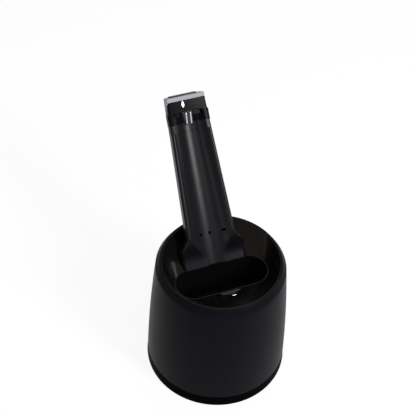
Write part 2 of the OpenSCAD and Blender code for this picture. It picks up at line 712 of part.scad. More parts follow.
module pump_impeller() color("#e8e8e2") translate([0, pump_y, pump_z + 2.2]) difference() {
  union() {
    cylinder(r = 8, h = 1);
    cylinder(r = 2.4, h = 4.4);
    for (a = [0 : 60 : 359]) rotate([0, 0, a]) translate([2, -0.5, 0.9]) cube([5.8, 1, 3]);
  }
  translate([0, 0, 0.4]) cylinder(r = shaft_r, h = 10, $fn = 48);
}

module seal_ring(r_in, r_out, h) {
  difference() {
    cylinder(r = r_out, h = h);
    translate([0, 0, -eps]) cylinder(r = r_in, h = h + 1);
  }
}

module nozzle_seal() color("#3a1d12") translate([0, pump_y, cart_top + slack]) seal_ring(2.6, 4.6, 1.8);
module drain_seal() color("#3a1d12") translate([0, -basin_y, cart_top + slack])
  difference() {
    seal_ring(drain_r + 0.1, drain_r + 3.2, 2.4);
    translate([0, 0, 0.4]) cylinder(r = drain_r + 1.5 + fit, h = 4);
  }

module bent_tube(a) {
  rotate_extrude(angle = a, $fn = 96) translate([bend_r, 0]) difference() {
    circle(r = hose_r, $fn = 48);
    circle(r = hose_bore, $fn = 48);
  }
}
module straight_tube(h) {
  difference() {
    cylinder(r = hose_r, h = h, $fn = 48);
    translate([0, 0, -1]) cylinder(r = hose_bore, h = h + 2, $fn = 48);
  }
}

module delivery_hose() color("#8a8f94") {
  // round the bowl from the pump's spigot to the front
  rotate([0, 0, -90]) rotate_extrude(angle = 180 - hose_start - 0.2, $fn = 180)
    translate([hose_ring, hose_z]) difference() {
      circle(r = hose_r, $fn = 48);
      circle(r = hose_bore, $fn = 48);
    }
  // up, and back into the front wall of the basin
  translate([0, -hose_ring, hose_z + bend_r]) rotate([90, 0, 0]) rotate([0, 0, 180]) bent_tube(90);
  translate([inlet_x, -hose_ring, hose_z + bend_r]) straight_tube(12);
  translate([inlet_x, -hose_ring + bend_r, hose_z + bend_r + 12]) rotate([90, 0, -90]) bent_tube(90);
  translate([inlet_x, -hose_ring + bend_r, inlet_z]) rotate([-90, 0, 0])
    straight_tube(hose_ring - bend_r - inlet_end);
}

module main_board() color("#1f5a35") {
  translate([-board_x, board_y, board_z]) {
    cube([board_w, board_l, board_t]);
    // connector, capacitor and chip
    translate([1.6, 5, board_t - eps]) cube([9, 12, 5]);
    translate([13.6, 22, board_t - eps]) cylinder(r = 3.2, h = 5, $fn = 48);
    translate([4.6, 26, board_t - eps]) cube([6, 6, 1.6]);
  }
}

module power_inlet() color("#0e0e10") difference() {
  intersection() {
    translate([0, socket_back, socket_z]) rotate([-90, 0, 0]) union() {
      rounded_bar(socket_w, socket_h, 22, 3);
      rounded_bar(socket_w + 4, socket_h + 2.6, 5.4, 3);
    }
    cylinder(r = side_r(socket_z), h = big, $fn = 180);
  }
  translate([0, socket_back + 3, socket_z]) rotate([-90, 0, 0])
    rounded_bar(socket_w - 3.4, socket_h - 3.4, 19, 2.4);
  for (side = [-1, 1]) translate([side * pin_x, socket_back - 8, socket_z]) rotate([-90, 0, 0])
    cylinder(r = pin_r + fit, h = 20, $fn = 32);
}

module inlet_pins() color("#d8dade") for (side = [-1, 1])
  translate([side * pin_x, socket_back - 2, socket_z]) rotate([-90, 0, 0])
    cylinder(r = pin_r, h = 10.2, $fn = 32);

// ---- lift button --------------------------------------------------------------------------------

module lift_button() color("#17181b") difference() {
  intersection() {
    translate([0, shank_y + shank_t + 0.05, button_z]) rotate([-90, 0, 0])
      rounded_bar(lift_button_w, button_h, 20, 4);
    cylinder(r = side_r(button_z) + 0.5, h = big, $fn = 180);
  }
  // finger dish
  translate([0, side_r(button_z) + dish_r - 0.4, button_z]) rotate([0, 90, 0])
    cylinder(r = dish_r, h = 16, center = true, $fn = 96);
}

module latch_ring() color("#b9bcc0") {
  eye_r = 3.7;
  slot_r = rod_r + 0.3;
  difference() {
    translate([0, 0, latch_z]) intersection() {
      union() {
        difference() {
          cylinder(r = latch_r, h = latch_t, $fn = 180);
          translate([0, 0, -1]) cylinder(r = latch_r - latch_w, h = 10, $fn = 180);
          translate([-big / 2, -big, -big / 2]) cube(big);
        }
        for (side = [-1, 1]) translate([side * rod_x, 0, 0]) {
          cylinder(r = eye_r, h = latch_t);
          translate([-eye_r, 0, 0]) cube([2 * eye_r, lift_button_travel, latch_t]);
          translate([0, lift_button_travel, 0]) cylinder(r = eye_r, h = latch_t);
        }
      }
      cylinder(r = latch_r + 0.6, h = 10, $fn = 180);
    }
    for (side = [-1, 1]) translate([side * rod_x, 0, latch_z - 1]) {
      cylinder(r = slot_r, h = 5, $fn = 48);
      translate([-slot_r, 0, 0]) cube([2 * slot_r, lift_button_travel, 5]);
      translate([0, lift_button_travel, 0]) cylinder(r = slot_r, h = 5, $fn = 48);
    }
  }
  // shank up to the button
  translate([-4, shank_y, latch_z]) cube([8, shank_t, button_z - latch_z + 4]);
}

// ---- cartridge ----------------------------------------------------------------------------------

module cartridge_outline(inset = 0) {
  intersection() {
    union() {
      for (side = [-1, 1]) translate([side * (cart_w - cart_nose_r), -cart_front + cart_nose_r])
        circle(r = cart_nose_r - inset);
      translate([-(cart_w - cart_nose_r), -cart_front + inset]) square([2 * (cart_w - cart_nose_r), 40]);
      translate([-cart_w + inset, -cart_front + cart_nose_r]) square([2 * (cart_w - inset), 100]);
    }
    circle(r = cart_r - inset, $fn = 180);
  }
}

module cartridge_tub() color("#1d2740") difference() {
  translate([0, 0, cart_z]) linear_extrude(cart_h - 2) cartridge_outline();
  difference() {
    translate([0, 0, cart_z + cart_wall]) linear_extrude(cart_h) cartridge_outline(cart_wall);
    // block behind the finger grip
    translate([-grip_w / 2 - 3, base_r - 16, 0]) cube([grip_w + 6, 30, 60]);
  }
  // finger grip
  intersection() {
    translate([-grip_w / 2, base_r - 14, cart_z + 16]) cube([grip_w, 30, 18]);
    translate([0, base_r + 6, cart_z + 25]) rotate([0, 90, 0]) cylinder(r = 19, h = 60, center = true);
  }
}

module cartridge_deck() color("#2b3a5c") difference() {
  translate([0, 0, cart_top - 2 + 0.02]) linear_extrude(1.98) cartridge_outline();
  translate([0, -basin_y, 0]) cylinder(r = 12, h = 100);
  translate([0, pump_y, 0]) cylinder(r = 2.4, h = 100, $fn = 48);
}

module cartridge_filter() color("#c9b98a") translate([0, -basin_y, cart_top - 1.4]) difference() {
  cylinder(r = 11.9, h = 1);
  for (x = [-8 : 4 : 8], y = [-8 : 4 : 8]) if (norm([x, y]) < 9.5)
    translate([x - 1.3, y - 1.3, -1]) cube([2.6, 2.6, 4]);
}

module cartridge_riser() color("#d9d9d4") translate([0, pump_y, cart_z + cart_wall + 2]) difference() {
  cylinder(r = 3.4, h = cart_h - cart_wall - 4.1, $fn = 48);
  translate([0, 0, -1]) cylinder(r = 2.4, h = 100, $fn = 48);
}

base_tray();
base_pad();
guide_rods();
lift_springs();
rod_screws();
housing_shell();
bay_guides();
bowl();
bowl_seal();
sensor_window();
sensor_bars();
chassis();
chassis_screws();
tower_front();
tower_back();
tower_screws();
tower_cable();
head_shell();
head_cap();
head_board();
status_lens();
contact_plug();
contact_left();
contact_right();
start_button();
pump_body();
pump_cover();
pump_motor();
pump_shaft();
pump_impeller();
nozzle_seal();
drain_seal();
delivery_hose();
main_board();
power_inlet();
inlet_pins();
lift_button();
latch_ring();
cartridge_tub();
cartridge_deck();
cartridge_filter();
cartridge_riser();
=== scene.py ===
from math import acos, asin, atan2, cos, degrees, pi, radians, sin, sqrt

import bmesh
import bpy
from mathutils import Matrix, Vector


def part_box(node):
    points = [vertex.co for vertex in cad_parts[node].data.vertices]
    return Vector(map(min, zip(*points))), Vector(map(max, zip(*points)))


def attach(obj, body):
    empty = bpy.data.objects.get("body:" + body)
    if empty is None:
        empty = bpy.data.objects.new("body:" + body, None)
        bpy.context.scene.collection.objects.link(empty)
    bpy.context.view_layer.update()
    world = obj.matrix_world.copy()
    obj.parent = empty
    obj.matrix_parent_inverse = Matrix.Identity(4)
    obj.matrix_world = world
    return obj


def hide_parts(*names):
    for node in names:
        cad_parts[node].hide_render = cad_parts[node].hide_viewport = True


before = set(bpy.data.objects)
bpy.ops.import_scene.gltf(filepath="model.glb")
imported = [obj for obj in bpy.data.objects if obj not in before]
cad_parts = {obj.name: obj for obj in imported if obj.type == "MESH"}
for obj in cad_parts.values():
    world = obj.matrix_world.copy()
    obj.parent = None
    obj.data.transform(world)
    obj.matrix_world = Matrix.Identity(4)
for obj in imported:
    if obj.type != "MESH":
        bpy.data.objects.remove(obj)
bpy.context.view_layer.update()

bl_info = {
    "name": "Shaver cleaning station",
    "version": (1, 0, 0),
    "blender": (4, 5, 0),
    "location": "View3D > Sidebar > Station",
    "description": "Dresses the cleaning station's frame with modelled pieces and finishes",
    "category": "Object",
}

MM = 0.001
JOINT_GAP = 0.15 * MM  # between the tower's shells, and between the tower, the head and the cap
BOWL_DROP = 0.6 * MM  # of the bowl's edge below the rim
BASIN_LIP = 0.8 * MM  # how far the funnel's foot stands off the basin
TOWER_CORNER = 9 * MM  # radius of the tower's back corners
SHELL_SIDES = 160  # facets round the housing, the base and the rim
QUARTER = radians(90)


def length(name, description, value_mm):
    """A length property whose default is given in millimetres."""
    return bpy.props.FloatProperty(
        name=name, description=description, default=value_mm * MM, unit="LENGTH", precision=5)


def colour(name, description, rgb):
    return bpy.props.FloatVectorProperty(
        name=name, description=description, default=rgb, subtype="COLOR", size=3, min=0, max=1)


# ---- sizes and colours ---------------------------------------------------------------------------


class HousingSizes(bpy.types.PropertyGroup):
    """Sizes of the base, the round housing and the bowl."""
    base_radius: length("Base radius", "Radius of the base ring at its top edge", 60)
    base_height: length("Base height", "Top edge of the base ring above the table", 11)
    shell_foot: length("Shell foot", "Lower edge of the housing above the table", 11.4)
    waist_radius: length("Waist radius", "Radius of the housing halfway up", 57.9)
    shoulder_radius: length("Shoulder radius", "Radius where the rim band starts", 53.8)
    shoulder_height: length("Shoulder height", "Height where the rim band starts", 115.5)
    rim_radius: length("Rim radius", "Inner radius of the rim", 49.5)
    rim_height: length("Rim height", "Height of the rim", 121.5)
    wall: length("Wall", "Thickness of the housing's wall", 2.4)
    bay_half_width: length("Bay half width", "Half width of the base's gap for the cartridge", 43)
    guide_half_width: length("Guide half width", "Half width between the cartridge's guides", 40.7)
    bay_top: length("Bay top", "Upper edge of the opening for the cartridge", 58.1)
    basin_half_length: length("Basin half length", "Half length of the basin, left to right", 39.5)
    basin_half_width: length("Basin half width", "Half width of the basin, front to back", 15)
    basin_forward: length("Basin forward", "Distance of the basin in front of the axis", 3.5)
    basin_edge: length("Basin edge", "Height of the basin's edge", 105)
    basin_floor: length("Basin floor", "Height of the basin's floor", 76)
    basin_draft: length("Basin draft", "How much the basin narrows down to its floor", 5)
    drain_radius: length("Drain radius", "Radius of the drain", 5)


class TowerSizes(bpy.types.PropertyGroup):
    """Sizes of the leaning tower and its head, in the tower's own frame."""
    lean: bpy.props.FloatProperty(
        name="Lean", description="Angle that the tower leans back", default=radians(38), subtype="ANGLE")
    slots_back: length("Slots back", "Distance of the slots' line behind the axis", 28)
    slots_height: length("Slots height", "Height of the slots' line", 126)
    half_width_low: length("Half width low", "Half width at the slots", 20.8)
    half_width_top: length("Half width top", "Half width at the top", 16)
    foot_half_width: length("Foot half width", "Half width of the foot", 28)
    foot_height: length("Foot height", "Level at which the tower stands on the bowl", 105.1)
    top: length("Top", "Length above the slots", 115.5)
    back: length("Back", "Depth behind the channel's floor", 11)
    channel_depth: length("Channel depth", "Depth of the channel between its flanges", 5)
    flange: length("Flange", "Width of a flange's front face at the slots", 3.4)
    seam: length("Seam", "Where the front and back shells meet", 2.6)
    head: length("Head", "Length of the black head", 29)
    hood: length("Hood", "Height of the hood over the contacts", 11)
    cap: length("Cap", "Thickness of the silver cap's top", 1.6)


class StationColours(bpy.types.PropertyGroup):
    """Base colours of the visible plastics."""
    shell: colour("Shell", "Matt plastic of the housing", (0.0027, 0.0025, 0.0038))
    gloss: colour("Gloss", "Glossy black of the buttons and the tower's back", (0.0014, 0.0014, 0.0017))
    head: colour("Head", "Black plastic of the head and its hood", (0.0019, 0.0019, 0.0027))
    plug: colour("Plug", "Plastic of the contact plug", (0.009, 0.009, 0.011))
    base: colour("Base", "Deep black plastic of the base ring", (0.0008, 0.0008, 0.0009))
    bowl: colour("Bowl", "Glossy black plastic of the bowl", (0.0024, 0.0023, 0.0023))
    tower: colour("Tower", "Satin plastic of the tower's channel", (0.0022, 0.0022, 0.0034))
    silver: colour("Silver", "Silver paint of the cap", (0.24, 0.24, 0.262))
    cartridge: colour("Cartridge", "Dark blue plastic of the cartridge", (0.012, 0.022, 0.075))
    floor: colour("Floor", "Pale floor", (0.93, 0.93, 0.94))


def housing():
    return bpy.context.scene.station_housing


def tower():
    return bpy.context.scene.station_tower


def colours():
    return bpy.context.scene.station_colours


# ---- modelling helpers ---------------------------------------------------------------------------


def leave_edit_mode():
    if bpy.context.mode != "OBJECT":
        bpy.ops.object.mode_set(mode="OBJECT")


def deselect():
    leave_edit_mode()
    bpy.ops.object.select_all(action="DESELECT")


def take_all():
    bpy.ops.mesh.select_all(action="SELECT")


def only(piece):
    """Makes a piece the one that is selected and active."""
    deselect()
    piece.select_set(True)
    bpy.context.view_layer.objects.active = piece


def edit(piece):
    only(piece)
    bpy.ops.object.mode_set(mode="EDIT")
    bpy.ops.mesh.select_mode(type="VERT")


def pick(piece, test):
    """Selects the vertices of the edited piece whose place passes the test."""
    bpy.ops.mesh.select_all(action="DESELECT")
    mesh = bmesh.from_edit_mesh(piece.data)
    for vertex in mesh.verts:
        vertex.select = test(vertex.co)
    mesh.select_flush_mode()
    bmesh.update_edit_mesh(piece.data)


def start(name):
    """Names the new primitive and leaves it selected all over in edit mode."""
    piece = bpy.context.view_layer.objects.active
    piece.name = name
    piece.data.name = name
    edit(piece)
    take_all()
    return piece


def chain(name, points, closed=True):
    """Draws a chain of edges by extruding one vertex from point to point."""
    deselect()
    bpy.ops.mesh.primitive_plane_add(size=MM, location=(0, 0, 0))
    piece = start(name)
    bpy.ops.mesh.merge(type="CENTER")
    bpy.ops.transform.translate(value=points[0])
    for before, after in zip(points, points[1:]):
        step = Vector(after) - Vector(before)
        bpy.ops.mesh.extrude_region_move(TRANSFORM_OT_translate={"value": step})
    if closed:
        ends = [Vector(points[0]), Vector(points[-1])]
        pick(piece, lambda place: min((place - end).length for end in ends) < 0.002 * MM)
        bpy.ops.mesh.edge_face_add()
    take_all()
    return piece


def face_out():
    take_all()
    bpy.ops.mesh.normals_make_consistent(inside=False)
    leave_edit_mode()


def turned(name, profile, steps=SHELL_SIDES):
    """A solid of revolution round the z axis from a closed profile of (radius, height)."""
    piece = chain(name, [(radius, 0, height) for radius, height in profile])
    bpy.ops.mesh.spin(steps=steps, angle=2 * pi, center=(0, 0, 0), axis=(0, 0, 1))
    take_all()
    bpy.ops.mesh.remove_doubles(threshold=0.001 * MM)
    face_out()
    return piece


def prism(name, section, low, high):
    """A closed section of (x, y) extruded from low to high."""
    piece = chain(name, [(x, y, low) for x, y in section])
    bpy.ops.mesh.edge_face_add()
    bpy.ops.mesh.extrude_region_move(TRANSFORM_OT_translate={"value": (0, 0, high - low)})
    face_out()
    return piece


def arc(centre, radius, start_angle, end_angle, steps):
    """Points along an arc, angles in degrees."""
    return [(centre[0] + radius * cos(radians(a)), centre[1] + radius * sin(radians(a)))
            for a in (start_angle + (end_angle - start_angle) * i / steps for i in range(steps + 1))]


def rounded_block(name, size, centre, corner, steps=6):
    """A block whose upright edges are rounded."""
    half_x, half_y = size[0] / 2 - corner, size[1] / 2 - corner
    section = []
    for turn, (sx, sy) in enumerate(((1, 1), (-1, 1), (-1, -1), (1, -1))):
        middle = (centre[0] + sx * half_x, centre[1] + sy * half_y)
        section += arc(middle, corner, 90 * turn, 90 * turn + 90, steps)
    return prism(name, section, centre[2] - size[2] / 2, centre[2] + size[2] / 2)


def ring(radius, centre, sides):
    """Adds a ring of loose edges, to a new piece or to the one in edit mode."""
    bpy.ops.mesh.primitive_circle_add(vertices=sides, radius=radius, location=centre)


def wrapped(name, rings):
    """The convex body that wraps rings of (radius, centre, sides)."""
    deselect()
    ring(*rings[0])
    piece = start(name)
    apply_place(piece)
    edit(piece)
    for turn in rings[1:]:
        ring(*turn)
    take_all()
    bpy.ops.mesh.convex_hull()
    face_out()
    return piece


def rod(name, radius, low, high, sides=48):
    """An upright cylinder between two points on one vertical line."""
    leave_edit_mode()
    bpy.ops.mesh.primitive_cylinder_add(
        vertices=sides, radius=radius, depth=high[2] - low[2],
        location=(low[0], low[1], (low[2] + high[2]) / 2))
    piece = start(name)
    leave_edit_mode()
    apply_place(piece)
    return piece


def apply_place(piece):
    """Moves a piece's place, turn and size into its mesh."""
    only(piece)
    bpy.ops.object.transform_apply(location=True, rotation=True, scale=True)


def turn_piece(piece, angle, axis):
    """Turns a piece's mesh by an angle about an axis through the origin."""
    piece.matrix_world = Matrix.Rotation(angle, 4, axis)
    apply_place(piece)


def shift_piece(piece, step):
    piece.location = step
    apply_place(piece)


def face_front(piece, place=None):
    """Turns a piece's z axis to the front, and moves the piece to its place."""
    turn_piece(piece, QUARTER, "X")
    if place:
        shift_piece(piece, place)


def corners(node_name):
    """The low and the high corner of a CAD node's box."""
    return [Vector(corner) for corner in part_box(node_name)]


def finish_modifiers(piece):
    only(piece)
    for modifier in list(piece.modifiers):
        bpy.ops.object.modifier_apply(modifier=modifier.name)


def cut(piece, cutter, operation="DIFFERENCE"):
    """Cuts a piece with another, which is used up."""
    boolean = piece.modifiers.new("cut", "BOOLEAN")
    boolean.operation = operation
    boolean.solver = "EXACT"
    boolean.object = cutter
    finish_modifiers(piece)
    if not piece.data.polygons:
        raise RuntimeError(f"{piece.name}: nothing is left of it after a cut")
    bpy.data.objects.remove(cutter)


def soften(piece, width, segments=2, angle=30):
    """Rounds the sharp edges of a piece."""
    bevel = piece.modifiers.new("soften", "BEVEL")
    bevel.width = width
    bevel.segments = segments
    bevel.limit_method = "ANGLE"
    bevel.angle_limit = radians(angle)
    bevel.miter_outer = "MITER_ARC"
    bevel.use_clamp_overlap = True
    finish_modifiers(piece)


def clean(piece):
    """Merges doubles and turns all faces outwards."""
    edit(piece)
    take_all()
    bpy.ops.mesh.remove_doubles(threshold=0.004 * MM)
    bpy.ops.mesh.dissolve_degenerate(threshold=0.004 * MM)
    face_out()


def slice_off(piece, point, normal):
    """Cuts away what lies on the normal's side of a plane, and closes the cut."""
    edit(piece)
    take_all()
    bpy.ops.mesh.bisect(plane_co=point, plane_no=normal, use_fill=True, clear_outer=True)
    face_out()


def join(name, pieces):
    only(pieces[0])
    for piece in pieces:
        piece.select_set(True)
    if len(pieces) > 1:
        bpy.ops.object.join()
    pieces[0].name = name
    pieces[0].data.name = name
    return pieces[0]


def lean_back(piece):
    """Carries a piece from the tower's own frame into the part's frame."""
    size = tower()
    piece.rotation_euler = (-size.lean, 0, 0)
    piece.location = (0, size.slots_back, size.slots_height)
    apply_place(piece)


def dress(piece, finish, body, *nodes, slot=None, angle=35):
    """Gives a piece its material, its body and the CAD nodes that it stands for."""
    only(piece)
    bpy.ops.object.shade_smooth_by_angle(angle=radians(angle))
    weigh = piece.modifiers.new("weigh", "WEIGHTED_NORMAL")
    weigh.keep_sharp = True
    finish_modifiers(piece)
    piece.data.materials.clear()
    piece.data.materials.append(finish)
    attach(piece, body)
    if nodes:
        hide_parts(*nodes)
    return piece


# ---- finishes ------------------------------------------------------------------------------------


def group_nodes(name, inputs, outputs):
    """A new shader node group with its sockets, and its input and output nodes."""
    group = bpy.data.node_groups.new(name, "ShaderNodeTree")
    for socket, kind, value in inputs:
        made = group.interface.new_socket(name=socket, in_out="INPUT", socket_type=kind)
        made.default_value = value
    for socket, kind in outputs:
        group.interface.new_socket(name=socket, in_out="OUTPUT", socket_type=kind)
    return group, group.nodes.new("NodeGroupInput"), group.nodes.new("NodeGroupOutput")


def node(tree, kind, **values):
    """A shader node; a value's name is a property, or an input socket with spaces as underscores."""
    made = tree.nodes.new(kind)
    for key, value in values.items():
        socket = made.inputs.get(key.replace("_", " "))
        if socket is not None and not hasattr(value, "is_output"):
            socket.default_value = value
        elif socket is not None:
            tree.links.new(value, socket)
        else:
            setattr(made, key, value)
    return made


def maths(tree, operation, *values):
    """Output of a maths node whose values are numbers or output sockets."""
    made = tree.nodes.new("ShaderNodeMath")
    made.operation = operation
    for socket, value in zip(made.inputs, values):
        if hasattr(value, "is_output"):
            tree.links.new(value, socket)
        else:
            socket.default_value = value
    return made.outputs[0]


def moulded_group():
    """Broad and fine noise that breaks up a moulded surface's colour, gloss and level."""
    found = bpy.data.node_groups.get("Moulded surface")
    if found:
        return found
    group, given, result = group_nodes(
        "Moulded surface",
        [("Colour", "NodeSocketColor", (0.01, 0.01, 0.01, 1)), ("Colour shift", "NodeSocketFloat", 0.15),
         ("Roughness", "NodeSocketFloat", 0.4), ("Roughness shift", "NodeSocketFloat", 0.05),
         ("Patch scale", "NodeSocketFloat", 60.0), ("Grain scale", "NodeSocketFloat", 2500.0)],
        [("Colour", "NodeSocketColor"), ("Roughness", "NodeSocketFloat"), ("Height", "NodeSocketFloat")])
    place = node(group, "ShaderNodeTexCoord").outputs["Object"]
    patches = node(group, "ShaderNodeTexNoise", Vector=place, Scale=given.outputs["Patch scale"],
                   Detail=4.0, Roughness=0.6).outputs["Fac"]
    grain = node(group, "ShaderNodeTexNoise", Vector=place, Scale=given.outputs["Grain scale"],
                 Detail=3.0, Roughness=0.7).outputs["Fac"]
    swing = maths(group, "MULTIPLY_ADD", maths(group, "SUBTRACT", patches, 0.5),
                  given.outputs["Roughness shift"], given.outputs["Roughness"])
    speckle = maths(group, "MULTIPLY_ADD", grain, given.outputs["Colour shift"], 1.0)
    shade = node(group, "ShaderNodeVectorMath", operation="SCALE", Scale=speckle)
    group.links.new(given.outputs["Colour"], shade.inputs[0])
    group.links.new(shade.outputs[0], result.inputs["Colour"])
    group.links.new(swing, result.inputs["Roughness"])
    group.links.new(grain, result.inputs["Height"])
    return group


def moulded(name, rgb, roughness, shift=0.05, speckle=0.15, patch=60.0, grain=2500.0, relief=0.02,
            metallic=0.0, specular=0.5, tint=(1.0, 1.0, 1.0)):
    """A moulded or painted finish: grain, uneven gloss and a faint relief."""
    found = bpy.data.materials.get(name)
    if found:
        return found
    material = bpy.data.materials.new(name)
    material.use_nodes = True
    tree = material.node_tree
    shader = tree.nodes["Principled BSDF"]
    surface = node(tree, "ShaderNodeGroup", node_tree=moulded_group(), Colour=(*rgb, 1),
                   Colour_shift=speckle, Roughness=roughness, Roughness_shift=shift,
                   Patch_scale=patch, Grain_scale=grain).outputs
    bump = node(tree, "ShaderNodeBump", Strength=relief, Distance=0.1 * MM, Height=surface["Height"])
    tree.links.new(surface["Colour"], shader.inputs["Base Color"])
    tree.links.new(surface["Roughness"], shader.inputs["Roughness"])
    tree.links.new(bump.outputs["Normal"], shader.inputs["Normal"])
    shader.inputs["Metallic"].default_value = metallic
    shader.inputs["Specular IOR Level"].default_value = specular
    shader.inputs["Specular Tint"].default_value = (*tint, 1)
    return material


def matt_shell():
    return moulded("matt shell", colours().shell, 0.38, shift=0.08, speckle=0.5, grain=3200.0, relief=0.3,
                   specular=0.022)


def gloss_black():
    return moulded("gloss black", colours().gloss, 0.15, shift=0.08, speckle=0.05, patch=25.0, relief=0.01,
                   specular=0.07)


def bowl_black():
    return moulded("bowl black", colours().bowl, 0.2, shift=0.08, speckle=0.1, patch=25.0, relief=0.02,
                   specular=0.1, tint=(1.0, 0.84, 0.72))


def head_black():
    return moulded("head black", colours().head, 0.14, shift=0.05, speckle=0.1, patch=40.0, relief=0.02,
                   specular=0.02)


def plug_black():
    return moulded("plug black", colours().plug, 0.12, shift=0.05, speckle=0.1, relief=0.02)


def base_black():
    return moulded("base black", colours().base, 0.45, shift=0.08, speckle=0.1, patch=25.0, relief=0.02,
                   specular=0.004)


def satin_tower():
    return moulded("satin tower", colours().tower, 0.24, shift=0.05, speckle=0.3, grain=3000.0, relief=0.05,
                   specular=0.08)


def silver_paint():
    return moulded("silver paint", colours().silver, 0.4, shift=0.1, speckle=0.25, patch=40.0, grain=4200.0,
                   relief=0.12, specular=0.02)


def metal(name, rgb, roughness, **other):
    return moulded(name, rgb, roughness, metallic=1.0, **other)


def bright_metal():
    return metal("bright metal", (0.78, 0.78, 0.8), 0.16, shift=0.1, speckle=0.05, patch=150.0, relief=0.05)


def contact_metal():
    return metal("contact metal", (0.5, 0.5, 0.53), 0.22, shift=0.1, speckle=0.05, patch=150.0, relief=0.05)


def brushed_steel():
    return metal("brushed steel", (0.56, 0.565, 0.58), 0.28, shift=0.15, speckle=0.1, patch=300.0,
                 relief=0.08)


def zinc_screw():
    return metal("zinc screw", (0.36, 0.36, 0.37), 0.38, shift=0.2, speckle=0.15, patch=500.0, relief=0.1)


def spring_steel():
    return metal("spring steel", (0.4, 0.41, 0.43), 0.25, shift=0.12, speckle=0.1, patch=400.0, relief=0.05)


def pad_rubber():
    return moulded("pad rubber", (0.012, 0.012, 0.012), 0.8, shift=0.1, speckle=0.4, grain=900.0, relief=0.4)


def seal_rubber():
    return moulded("seal rubber", (0.05, 0.018, 0.01), 0.55, shift=0.1, speckle=0.2, grain=1500.0, relief=0.2)


def inner_plastic():
    return moulded("inner plastic", (0.03, 0.032, 0.036), 0.42, shift=0.1, speckle=0.2, relief=0.1)


def white_plastic():
    return moulded("pump plastic", (0.62, 0.62, 0.58), 0.36, shift=0.08, speckle=0.05, relief=0.06)


def cartridge_plastic():
    return moulded("cartridge plastic", colours().cartridge, 0.24, shift=0.08, speckle=0.2, relief=0.06)


def cartridge_lid():
    return moulded("cartridge lid", (0.02, 0.038, 0.12), 0.34, shift=0.08, speckle=0.2, relief=0.1)


def filter_felt():
    return moulded("filter felt", (0.48, 0.39, 0.22), 0.9, shift=0.05, speckle=0.6, patch=300.0, grain=700.0,
                   relief=0.8)


def hose_silicone():
    return moulded("hose silicone", (0.22, 0.23, 0.24), 0.38, shift=0.08, speckle=0.1, relief=0.04)


def board_mask():
    return moulded("board mask", (0.012, 0.09, 0.03), 0.3, shift=0.15, speckle=0.5, patch=700.0, grain=900.0,
                   relief=0.2)


def cable_skin():
    return moulded("cable skin", (0.03, 0.03, 0.033), 0.45, shift=0.05, speckle=0.2, relief=0.1)


def light_window():
    """Frosted white window of the status light, faintly lit."""
    found = bpy.data.materials.get("light window")
    if found:
        return found
    material = moulded("light window", (0.78, 0.8, 0.86), 0.35, shift=0.05, speckle=0.05, relief=0.03)
    shader = material.node_tree.nodes["Principled BSDF"]
    shader.inputs["Emission Color"].default_value = (0.85, 0.9, 1.0, 1)
    shader.inputs["Emission Strength"].default_value = 0.15
    return material


NODE_FINISHES = {
    "base_pad": pad_rubber, "guide_rods": bright_metal, "lift_springs": spring_steel,
    "rod_screws": zinc_screw, "bowl_seal": seal_rubber, "chassis": inner_plastic,
    "chassis_screws": zinc_screw, "tower_screws": zinc_screw, "tower_cable": cable_skin,
    "head_board": board_mask, "pump_body": white_plastic, "pump_cover": white_plastic,
    "pump_motor": brushed_steel, "pump_shaft": bright_metal, "pump_impeller": white_plastic,
    "nozzle_seal": seal_rubber, "drain_seal": seal_rubber, "delivery_hose": hose_silicone,
    "main_board": board_mask, "power_inlet": gloss_black, "inlet_pins": bright_metal,
    "latch_ring": brushed_steel, "cartridge_filter": filter_felt, "cartridge_riser": white_plastic,
    "sensor_window": gloss_black, "sensor_bars": bright_metal, "contact_left": contact_metal,
    "contact_right": contact_metal, "lift_button": gloss_black, "cartridge_tub": cartridge_plastic,
    "cartridge_deck": cartridge_lid, "housing_shell": matt_shell, "bay_guides": matt_shell,
    "bowl": bowl_black,
    "base_tray": base_black, "tower_front": satin_tower, "tower_back": gloss_black,
    "head_shell": head_black, "head_cap": silver_paint, "status_lens": light_window,
    "contact_plug": plug_black, "start_button": gloss_black,
}


class STATION_OT_finish_nodes(bpy.types.Operator):
    """Gives every CAD node its procedural finish"""
    bl_idname = "station.finish_nodes"
    bl_label = "Finish the CAD nodes"

    def execute(self, context):
        missing = set(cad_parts) - set(NODE_FINISHES)
        if missing:
            raise RuntimeError(f"no finish is named for {sorted(missing)}")
        for name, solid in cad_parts.items():
            finish = NODE_FINISHES[name]()
            for slot in solid.material_slots:
                slot.material = finish
            if not solid.material_slots:
                solid.data.materials.append(finish)
        return {"FINISHED"}


# ---- housing -------------------------------------------------------------------------------------


def side_radius(height):
    """Radius of the housing's outside: a straight taper with a slight bulge at the waist."""
    size = housing()
    t = (height - size.shell_foot) / (size.shoulder_height - size.shell_foot)
    bulge = size.waist_radius - (size.base_radius + size.shoulder_radius) / 2
    return size.base_radius + (size.shoulder_radius - size.base_radius) * t + 4 * bulge * t * (1 - t)


def bay_cutter(name, low, half_width):
    """A block over the cartridge's bay at the back."""
    size = housing()
    return rounded_block(name, (2 * half_width, 80 * MM, 2 * (size.bay_top - low)),
                         (0, 60 * MM, low), 0.5 * MM, steps=1)


